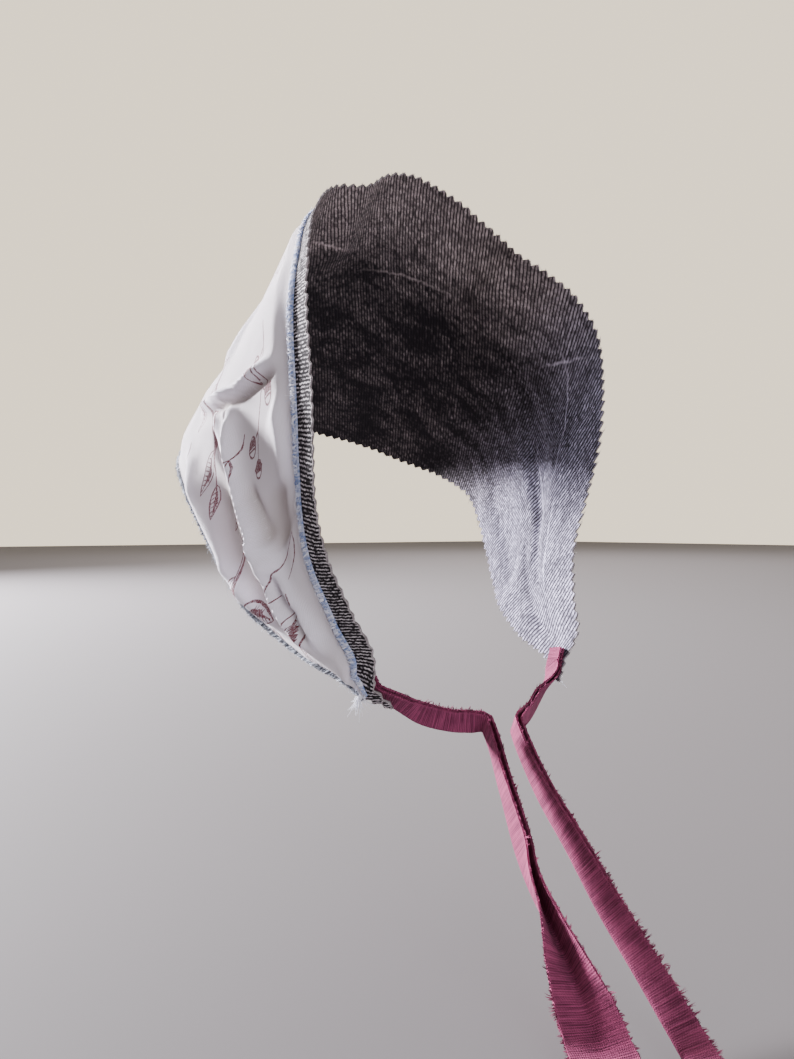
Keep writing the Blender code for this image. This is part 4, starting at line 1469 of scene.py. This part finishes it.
@dataclass
class Topstitching:
    """Two short rows of stitches inside the front band, near each lower corner, and loose thread ends.

    Each of the rows is its inset from the band and its shade, and each of the tufts its side and how many
    threads it has.
    """
    surface: LeafSurface
    start: float = 0.845
    stop: float = 0.985
    stitch: float = 0.0026
    pitch: float = 0.0032
    radius: float = 0.00030
    rows: tuple[tuple[float, float], ...] = ((0.0026, 1.0), (0.0050, 0.30))
    tufts: tuple[tuple[int, int], ...] = ((-1, 90), (1, 40))
    seed: int = 51

    def dress(self, material: bpy.types.Material) -> bpy.types.Object:
        """Build the stitches."""
        surface, base = self.surface, self.surface.cover_face
        random = np.random.default_rng(self.seed)
        maker = StrandMaker("corner_stitches")
        for side in (-1, 1):
            for inset, shade in self.rows:
                def line(girth: Array) -> Array:
                    lines = surface.laps(girth)
                    return np.minimum(lines[1] + inset * surface.column(girth)[4], lines[2] - 0.0012)

                every = surface.walk(line, surface.half_girth * self.stop, 0.0004)
                every = every[np.sign(every) == side]
                every = every[np.abs(every) > surface.half_girth * self.start]
                run = running_length(surface.at(np.stack([every, line(every)], axis=-1), base))
                starts = np.arange(0.0, run[-1] - self.stitch, self.pitch)
                shares = np.array([0.0, 0.15, 0.5, 0.85, 1.0])
                girth = np.interp(starts[:, None] + self.stitch * shares, run, every)
                flat = np.stack([girth, line(girth) + random.normal(0.0, 0.0001, girth.shape)], axis=-1)
                lift = np.array([-0.00012, 0.00012, 0.00018, 0.00012, -0.00012])
                lines = surface.at(flat, base + lift)
                radii = self.radius * np.array([0.6, 1.0, 1.0, 1.0, 0.6])
                middle = flat[:, 2]
                maker.strands(lines, radii, surface.outward(middle), middle, np.full(len(starts), shade))
        self.add_ends(maker, base, random)
        return maker.finish([material], 70.0)

    def add_ends(self, maker: StrandMaker, base: float, random: np.random.Generator) -> None:
        """Add the tuft of cut thread ends at each corner.

        Args:
            maker: the stitches' mesh.
            base: height of the cover's outer face.
            random: the stitches' own random numbers.
        """
        surface = self.surface
        for side, count in self.tufts:
            edge = np.full(count, side * surface.half_girth * 0.992)
            flat = np.stack([edge, surface.width(edge) * random.uniform(0.74, 1.0, count)], axis=-1)
            root = surface.at(flat, base)
            down = np.array([side * -0.3, -0.2, -0.8]) + random.normal(0.0, 0.34, (count, 3))
            away = surface.outward(flat) * random.uniform(0.1, 0.5, (count, 1))
            length = random.uniform(0.0018, 0.0062, (count, 1))
            shares = np.array([0.0, 0.35, 0.7, 1.0])[None, :, None]
            curl = random.normal(0.0, 0.5, (count, 3)) * length
            lines = root[:, None] + ((down + away) * length)[:, None] * shares + curl[:, None] * shares ** 2
            radii = np.array([0.00017, 0.00017, 0.00013, 0.00004])
            shade = random.uniform(-0.6, -0.2, count)
            maker.strands(lines, radii, np.tile([1.0, 0.2, 0.1], (count, 1)), flat, shade, sides=4)


@dataclass
class Edging:
    """The overcast thread along one raw edge of the cover."""
    surface: LeafSurface
    edge: Edge
    pitch: float = 0.00075
    radius: float = 0.00032
    bite: float = 0.0010
    fuzz: int = 2600
    seed: int = 5

    def span(self, girth: Array) -> tuple[Array, Array]:
        """Depths of the band's front and back."""
        lines, gap = self.surface.laps(girth), self.surface.sizes.edging_gap
        if self.edge is Edge.FRONT:
            return lines[0], lines[1] - gap
        return lines[2] + gap, lines[3]

    def dress(self, material: bpy.types.Material) -> bpy.types.Object:
        """Build the band of stitches."""
        surface, base = self.surface, self.surface.cover_face
        random = np.random.default_rng(self.seed)
        middle = surface.walk(lambda girth: self.span(girth)[0], surface.half_girth, self.pitch)
        count = len(middle)
        shares = np.linspace(0.0, 1.0, 6)
        slant = random.normal(0.0014, 0.0007, count)
        girth = middle[:, None] + slant[:, None] * (shares - 0.5) + random.normal(0.0, 0.00012, (count, 6))
        girth = girth.clip(-surface.half_girth, surface.half_girth)
        low, high = self.span(girth)
        if self.edge is Edge.BACK:
            low, high = low - self.bite, high + self.bite / 2
        over = random.normal(0.0, 0.0004, (count, 2))
        depth = low + over[:, :1] * (1 - shares) + (high - low) * shares + over[:, 1:] * shares
        rise = (0.0003 + 0.0006 * np.sin(math.pi * shares) + random.normal(0.0, 0.00012, (count, 6))
                + random.uniform(-0.0002, 0.0004, (count, 1)))
        flat = np.stack([girth, depth], axis=-1)
        lines = surface.at(flat, base - 0.0007 + rise)
        radii = self.radius * np.array([0.55, 1.0, 1.05, 1.05, 1.0, 0.55])
        place = flat[:, 2]
        maker = StrandMaker(f"{self.edge.value}_overcast")
        maker.strands(lines, radii, surface.outward(place), place, random.uniform(-0.15, 0.95, count))
        self.add_band(maker, base)
        self.add_fuzz(maker, base, random)
        return maker.finish([material], 70.0)

    def add_fuzz(self, maker: StrandMaker, base: float, random: np.random.Generator) -> None:
        """Add the loose fibres that stand off the stitches.

        Args:
            maker: the band's mesh.
            base: height of the cover's outer face.
            random: the band's own random numbers.
        """
        surface, count = self.surface, self.fuzz
        girth = random.uniform(-surface.half_girth, surface.half_girth, count) * 0.995
        low, high = self.span(girth)
        depth = low + (high - low) * random.uniform(-0.05, 1.05, count)
        flat = np.stack([girth, depth], axis=-1)
        length = random.gamma(2.0, 0.00045, count).clip(0.0003, 0.0026)
        reach = random.normal(0.0, 1.0, (count, 2)) * length[:, None]
        shares = np.array([0.0, 0.35, 0.7, 1.0])
        places = flat[:, None] + reach[:, None] * shares[:, None]
        places[..., 0] = places[..., 0].clip(-surface.half_girth, surface.half_girth)
        lift = np.sin(math.pi * shares * random.uniform(0.4, 0.95, (count, 1))) * length[:, None] * 0.6
        lines = surface.at(places, base + lift - 0.0001)
        radii = np.array([0.00007, 0.00007, 0.00006, 0.00002])
        maker.strands(lines, radii, surface.outward(flat), flat, random.uniform(-0.3, 0.5, count), sides=3)

    def add_band(self, maker: StrandMaker, base: float) -> None:
        """Add the flat layer of thread under the stitches."""
        surface = self.surface
        girths = surface.walk(lambda girth: self.span(girth)[0], surface.half_girth, 0.0015)
        low, high = self.span(girths)
        ring = []
        bottom, top = surface.sizes.denim_wall + 0.0001, base - 0.0004
        for share, height in ((0.0, bottom), (0.0, top), (0.5, top + 0.0002), (1.0, top), (1.0, bottom)):
            flat = np.stack([girths, low + (high - low) * share], axis=-1)
            ring.append((flat, surface.at(flat, height)))
        count, sides = len(girths), len(ring)
        points = np.stack([row[1] for row in ring], axis=1).reshape(-1, 3)
        flat = np.stack([row[0] for row in ring], axis=1).reshape(-1, 2)
        index = np.arange(count * sides).reshape(count, sides)
        after = np.roll(index, -1, axis=1)
        faces = np.stack([index[:-1], after[:-1], after[1:], index[1:]], axis=-1).reshape(-1, 4)
        start = maker.add(points, faces, np.column_stack([flat, np.zeros(len(flat))]), 0.0, 0.75)
        maker.faces.append([start + int(i) for i in index[0][::-1]])
        maker.faces.append([start + int(i) for i in index[-1]])


class FreePlace(NamedTuple):
    """One place on a tie's free end: shares along, fallen and drifted, then its tilt and fold in degrees."""
    along: float
    fall: float
    drift: float
    tilt: float
    fold: float


RIGHT_PLACES = (
    FreePlace(0.00, 0.00, 0.00, 82, 176), FreePlace(0.16, 0.27, 0.20, 76, 176),
    FreePlace(0.32, 0.50, 0.33, 66, 176), FreePlace(0.43, 0.61, 0.46, 82, 172),
    FreePlace(0.53, 0.70, 0.62, 84, 156), FreePlace(0.66, 0.82, 0.81, 70, 100),
    FreePlace(0.82, 0.97, 0.95, 16, 20), FreePlace(1.00, 1.00, 1.07, 0, 8),
)
LEFT_PLACES = (
    FreePlace(0.00, 0.00, 0.00, 80, 176), FreePlace(0.16, 0.27, 0.20, 72, 176),
    FreePlace(0.33, 0.48, 0.44, 60, 176), FreePlace(0.50, 0.67, 0.64, 46, 174),
    FreePlace(0.67, 0.82, 0.84, 32, 172), FreePlace(0.84, 0.94, 1.00, 18, 168),
    FreePlace(1.00, 0.97, 1.06, 8, 164),
)
JAW_PLACES = ((0.30, 0.28, 0.66), (0.62, 0.62, 0.95), (0.86, 0.86, 1.00))


@dataclass
class Tie:
    """One torn strip, folded along its crease, from inside its corner to its cut end."""
    surface: LeafSurface
    name: str
    side: int
    chin_out: float
    chin_forward: float
    chin_drop: float
    drift: float
    places: tuple[FreePlace, ...]
    width: float = 0.021
    wall: float = 0.0009
    bend: float = 0.0031
    gap: float = 0.0008
    leave: float = 0.0018
    cad_wall: float = 0.0010
    sewn: float = 0.011
    free_run: float = 0.128
    free_fall: float = 0.0740
    pull_angle: float = math.radians(35.1)
    step: float = 0.0016
    tuft_pitch: float = 0.00105
    tuft_threads: int = 7
    seed: int = 3

    def route(self) -> Array:
        """Rows of crease point, lay and fold, from inside the corner to the cut end."""
        surface, sizes = self.surface, self.surface.sizes
        inward = self.bend / math.pi + self.cad_wall / 2 + self.gap
        columns = surface.half_girth * np.array([1.0 - 1.0 / 29.5, 1.0])
        girths = self.side * np.append(columns, surface.reach)
        edge = self.side * surface.half_girth
        ends = surface.at(np.array([[edge, 0.0], [edge, surface.width(np.array([edge]))[0]]]), 0.0)
        lay = unit(ends[0] - ends[1])
        middle = np.stack([girths, surface.width(girths) / 2], axis=-1)
        heights = -inward - np.array([0.0, self.leave / 3, self.leave])
        creases = surface.at(middle, heights) - lay * self.width / 4
        creases[0] = creases[1] + unit(creases[0] - creases[1]) * self.sewn
        rows = [(*crease, *lay, math.pi) for crease in creases]
        tongue = creases[-1]
        chin = np.array([self.chin_out * sizes.half_width, tongue[1] - self.chin_forward * sizes.leaf_depth,
                         tongue[2] - self.chin_drop * sizes.arch_height])
        rows += [(*(tongue + (chin - tongue) * place), 0.0, -0.3, 1.0, math.pi) for place in JAW_PLACES]
        pull = np.array([-math.sin(self.pull_angle), -math.cos(self.pull_angle), 0.0])
        sideways = np.array([math.cos(self.pull_angle), -math.sin(self.pull_angle), 0.0])
        down = np.array([0.0, 0.0, 1.0])
        facing = np.cross(unit(pull * self.free_run - down * self.free_fall), sideways)
        for place in self.places:
            crease = (chin + pull * place.along * self.free_run - down * place.fall * self.free_fall
                      + sideways * place.drift * self.drift * self.free_run)
            tilt = math.radians(place.tilt)
            rows.append((*crease, *(sideways * math.cos(tilt) + facing * math.sin(tilt)),
                         math.radians(place.fold)))
        return np.array(rows)

    def frames(self) -> tuple[Array, ...]:
        """Crease points, lays, facings, folds and the length run, at even steps along the strip."""
        rows = self.route()
        stops = running_length(rows[:, :3])
        count = round(stops[-1] / self.step)
        path = curve_through(rows, stops, np.linspace(0.0, stops[-1], count + 1))
        creases = path[:, :3]
        tangents = unit(np.gradient(creases, axis=0))
        lays = path[:, 3:6]
        lays = unit(lays - tangents * (lays * tangents).sum(-1, keepdims=True))
        facings = np.cross(tangents, lays) * -self.side
        return creases, lays, facings, path[:, 6], running_length(creases)

    def cross_section(self, fold: Array, stops: Array) -> tuple[Array, ...]:
        """The folded strip's section at each step.

        Args:
            fold: how far the strip is folded at each step, in radians.
            stops: places across the strip, 0 at the crease.

        Returns:
            Across, up and turned angle, each with a row for each step and a column for each stop.
        """
        bend = self.bend / 2
        spans = 400
        fine = np.linspace(-self.width / 2, self.width / 2, spans + 1)
        angle = fold[:, None] * np.clip((fine + bend) / (2 * bend), 0.0, 1.0)
        step = fine[1] - fine[0]
        across = -np.cumsum(np.cos(angle), axis=1) * step
        up = np.cumsum(np.sin(angle), axis=1) * step
        crease = spans // 2
        across -= across[:, crease:crease + 1]
        up -= up[:, crease:crease + 1]
        index = np.clip((stops / self.width + 0.5) * spans, 0, spans)
        low = np.minimum(index.astype(int), spans - 1)
        share = index - low
        return tuple(values[:, low] * (1 - share) + values[:, low + 1] * share
                     for values in (across, up, angle))

    def dress(self, material: bpy.types.Material) -> bpy.types.Object:
        """Build the strip in its cloth, with its edges frayed."""
        random = np.random.default_rng(self.seed)
        creases, lays, facings, fold, run = self.frames()
        half, bend = self.width / 2, self.bend / 2
        stops = np.concatenate([np.linspace(-half, -bend, 11), np.linspace(-bend, bend, 9)[1:-1],
                                np.linspace(bend, half, 11)])
        across, up, turned = self.cross_section(fold, stops)
        centre = (creases[:, None] + lays[:, None] * across[..., None] + facings[:, None] * up[..., None])
        square = lays[:, None] * np.sin(turned)[..., None] + facings[:, None] * np.cos(turned)[..., None]
        outward = unit(np.gradient(centre, axis=1))
        rough = np.zeros((len(run), len(stops)))
        rough[:, 0] = -np.abs(random.normal(0.0, 0.00025, len(run)))
        rough[:, -1] = np.abs(random.normal(0.0, 0.00025, len(run)))
        centre = centre - outward * rough[..., None] * np.sign(stops)[None, :, None] * 0.5
        maker = StrandMaker(self.name)
        flat = np.stack([np.broadcast_to(stops, rough.shape), np.broadcast_to(run[:, None], rough.shape),
                         np.zeros_like(rough)], axis=-1)
        edge = np.broadcast_to(half - np.abs(stops), rough.shape)
        rows, columns = rough.shape
        index = np.arange(rows * columns).reshape(rows, columns)
        quads = np.stack([index[:-1, :-1], index[1:, :-1], index[1:, 1:], index[:-1, 1:]], -1).reshape(-1, 4)
        far = maker.add((centre + square * self.wall / 2).reshape(-1, 3), quads, flat.reshape(-1, 3),
                        edge.ravel(), 0.0)
        near = maker.add((centre - square * self.wall / 2).reshape(-1, 3), quads[:, ::-1],
                         flat.reshape(-1, 3), edge.ravel(), 0.0)
        rim = np.concatenate([index[0], index[1:, -1], index[-1, -2::-1], index[-2:0:-1, 0]])
        walls = np.stack([rim + far, rim + near, np.roll(rim, -1) + near, np.roll(rim, -1) + far], axis=-1)
        maker.faces.extend(walls[:, ::-1].tolist())
        self.fray(maker, centre, outward, square, run, random)
        return maker.finish([material])

    def fray(self, maker: StrandMaker, centre: Array, outward: Array, square: Array,
             run: Array, random: np.random.Generator) -> None:
        """Add the loose threads along both torn edges.

        Args:
            maker: the strip's mesh.
            centre: the strip's middle layer.
            outward: the direction across the strip at each of its points.
            square: the direction square to the strip at each of its points.
            run: the length run at each step.
            random: the strip's own random numbers.
        """
        tufts = int(run[-1] / self.tuft_pitch)
        count = tufts * self.tuft_threads
        tuft = np.repeat(np.arange(tufts), self.tuft_threads)
        for column, sign in ((0, -1.0), (-1, 1.0)):
            middle = (tuft + 0.5 + random.uniform(-0.3, 0.3, tufts)[tuft]) / tufts
            spread = random.uniform(-0.5, 0.5, count)
            place = ((middle + spread / tufts) * (len(run) - 1)).clip(0.0, len(run) - 1.001)
            low = place.astype(int)
            share = (place - low)[:, None]
            base = centre[low, column] * (1 - share) + centre[low + 1, column] * share
            away, up = outward[low, column] * sign, square[low, column]
            along = np.cross(away, up)
            length = (random.gamma(3.0, 0.00038, tufts).clip(0.0004, 0.0026)[tuft]
                      * random.uniform(0.6, 1.1, count))[:, None]
            lean = (random.normal(0.0, 0.30, tufts)[tuft] - spread * 0.0007 / length[:, 0])[:, None]
            curl = random.normal(0.0, 0.18, tufts)[tuft][:, None] + random.normal(0.0, 0.08, (count, 1))
            shares = np.array([-0.4, 0.0, 0.5, 1.0])[None, :, None]
            lines = (base[:, None] + (away * length)[:, None] * shares
                     + (along * length * lean)[:, None] * shares ** 2 * np.sign(shares)
                     + (up * length * curl)[:, None] * shares ** 2 * np.sign(shares))
            radii = np.array([0.00014, 0.00014, 0.00009, 0.00003])
            flat = np.column_stack([np.full(count, sign * self.width / 2), run[low]])
            maker.strands(lines, radii, up, flat, random.uniform(0.0, 1.0, count), sides=3)


class Lamp(NamedTuple):
    """One soft square lamp, which faces the bonnet or straight down."""
    name: str
    place: tuple[float, float, float]
    size: float
    power: float
    color: Color
    down: bool = False


LAMPS = (
    Lamp("key_light", (-1.10, 2.30, 0.62), 0.55, 640.0, (0.98, 0.96, 1.0)),
    Lamp("front_light", (-0.15, -1.5, 0.05), 0.8, 15.0, (0.95, 0.94, 1.0)),
    Lamp("fill_light", (1.2, -0.8, 0.6), 1.2, 2.0, (1.0, 0.97, 0.93)),
    Lamp("floor_light", (2.6, 2.6, 1.9), 3.0, 170.0, (1.0, 0.95, 0.95), down=True),
)


@dataclass
class Studio:
    """A plain floor, soft light and the camera."""
    floor_height: float = -0.2806
    floor_reach: float = 8.0
    floor_color: Color = (0.110, 0.102, 0.108)
    lamp_aim: tuple[float, float, float] = (0.0, -0.06, -0.10)
    sky_toward: tuple[float, float, float] = (0.50, 0.82, 0.15)
    sky_near: Color = (0.92, 0.87, 0.83)
    sky_far: Color = (1.0, 0.86, 0.66)
    camera_place: tuple[float, float, float] = (-0.2458, -0.4185, -0.1118)
    camera_turn: float = math.radians(35.1)
    lens: float = 26.0

    def build(self) -> None:
        """Put the stage, the lights and the camera in the scene."""
        self.build_floor()
        self.build_world()
        for lamp in LAMPS:
            self.build_light(lamp)
        camera = bpy.data.cameras.new("camera")
        camera.lens, camera.sensor_width, camera.sensor_fit = self.lens, 36.0, "AUTO"
        camera.clip_start = 0.01
        item = bpy.data.objects.new("camera", camera)
        item.location = self.camera_place
        item.rotation_euler = (math.pi / 2, 0.0, -self.camera_turn)
        bpy.context.scene.collection.objects.link(item)
        bpy.context.scene.camera = item

    def build_floor(self) -> None:
        """A plain floor."""
        mesh = bpy.data.meshes.new("floor")
        size = self.floor_reach
        corners = [(-size, -size, 0), (size, -size, 0), (size, size, 0), (-size, size, 0)]
        mesh.from_pydata(corners, [], [(0, 1, 2, 3)])
        material = bpy.data.materials.new("floor")
        material.use_nodes = True
        shader = material.node_tree.nodes["Principled BSDF"]
        shader.inputs["Base Color"].default_value = paint(self.floor_color)
        shader.inputs["Roughness"].default_value = 0.9
        mesh.materials.append(material)
        floor = bpy.data.objects.new("floor", mesh)
        floor.location.z = self.floor_height
        bpy.context.scene.collection.objects.link(floor)

    def build_world(self) -> None:
        """Pale light from all round, brightest from behind the bonnet."""
        world = bpy.data.worlds.new("studio")
        world.use_nodes = True
        tree = Tree(world.node_tree)
        back = world.node_tree.nodes["Background"]
        toward = tree.vector("NORMALIZE", self.sky_toward)
        facing = tree.dot(tree.add("TexCoord").outputs["Generated"], toward)
        color = tree.mix(tree.ramp(facing, 0.25, 0.85), self.sky_near, self.sky_far)
        world.node_tree.links.new(color, back.inputs["Color"])
        world.node_tree.links.new(tree.ramp(facing, 0.25, 0.85, 0.44, 1.60), back.inputs["Strength"])
        bpy.context.scene.world = world

    def build_light(self, lamp: Lamp) -> None:
        """One lamp, kept out of the camera's sight."""
        light = bpy.data.lights.new(lamp.name, "AREA")
        light.size, light.energy, light.color = lamp.size, lamp.power, lamp.color
        item = bpy.data.objects.new(lamp.name, light)
        item.location = lamp.place
        item.visible_camera = False
        if not lamp.down:
            aim = Vector(self.lamp_aim) - Vector(lamp.place)
            item.rotation_euler = aim.to_track_quat("-Z", "Y").to_euler()
        bpy.context.scene.collection.objects.link(item)


def seat(item: bpy.types.Object, node: str) -> bpy.types.Object:
    """Let a piece stand for a CAD node.

    Args:
        item: the piece.
        node: the CAD node that it replaces.

    Returns:
        The piece.
    """
    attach(item, "root")
    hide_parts(node)
    return item


def main() -> None:
    """Build the bonnet piece by piece, dress it and light it."""
    Studio().build()
    effects = Effects()
    surface = LeafSurface(LeafSizes(), FOLDS + CREASES)
    log.info("leaf: half girth %.4f, reach %.4f", surface.half_girth, surface.reach)
    denim = DenimLining(surface)
    lining = seat(denim.dress(DenimFinish().material(effects)), "denim_lining")
    fray = seat(LiningFray(surface, denim).dress(FrayFinish().material(effects)), "denim_lining")
    strokes = SprigPrint().draw(PRINT_PLACES)
    cover = seat(PrintCover(surface).dress(strokes, PrintFinish().material(effects)), "print_cover")
    pale = ThreadFinish("pale_blue_thread", (0.86, 0.86, 0.93), (0.20, 0.27, 0.50)).material(effects)
    grey = ThreadFinish("grey_blue_thread", (0.46, 0.49, 0.57), (0.018, 0.022, 0.036)).material(effects)
    stitches = seat(Topstitching(surface).dress(pale), "print_cover")
    seat(Edging(surface, Edge.FRONT, seed=5).dress(pale), "front_edging")
    seat(Edging(surface, Edge.BACK, seed=6).dress(grey), "back_edging")
    burgundy = TieFinish().material(effects)
    right = Tie(surface, "tie_right_cloth", -1, -0.159, 0.123, 0.048, 0.197, RIGHT_PLACES, seed=31)
    left = Tie(surface, "tie_left_cloth", 1, -0.017, 0.150, 0.056, 0.273, LEFT_PLACES, seed=32)
    for tie, node, length in ((right, "tie_right", 0.224), (left, "tie_left", 0.237)):
        strip = seat(tie.dress(burgundy), node)


if __name__ == "__main__":
    main()
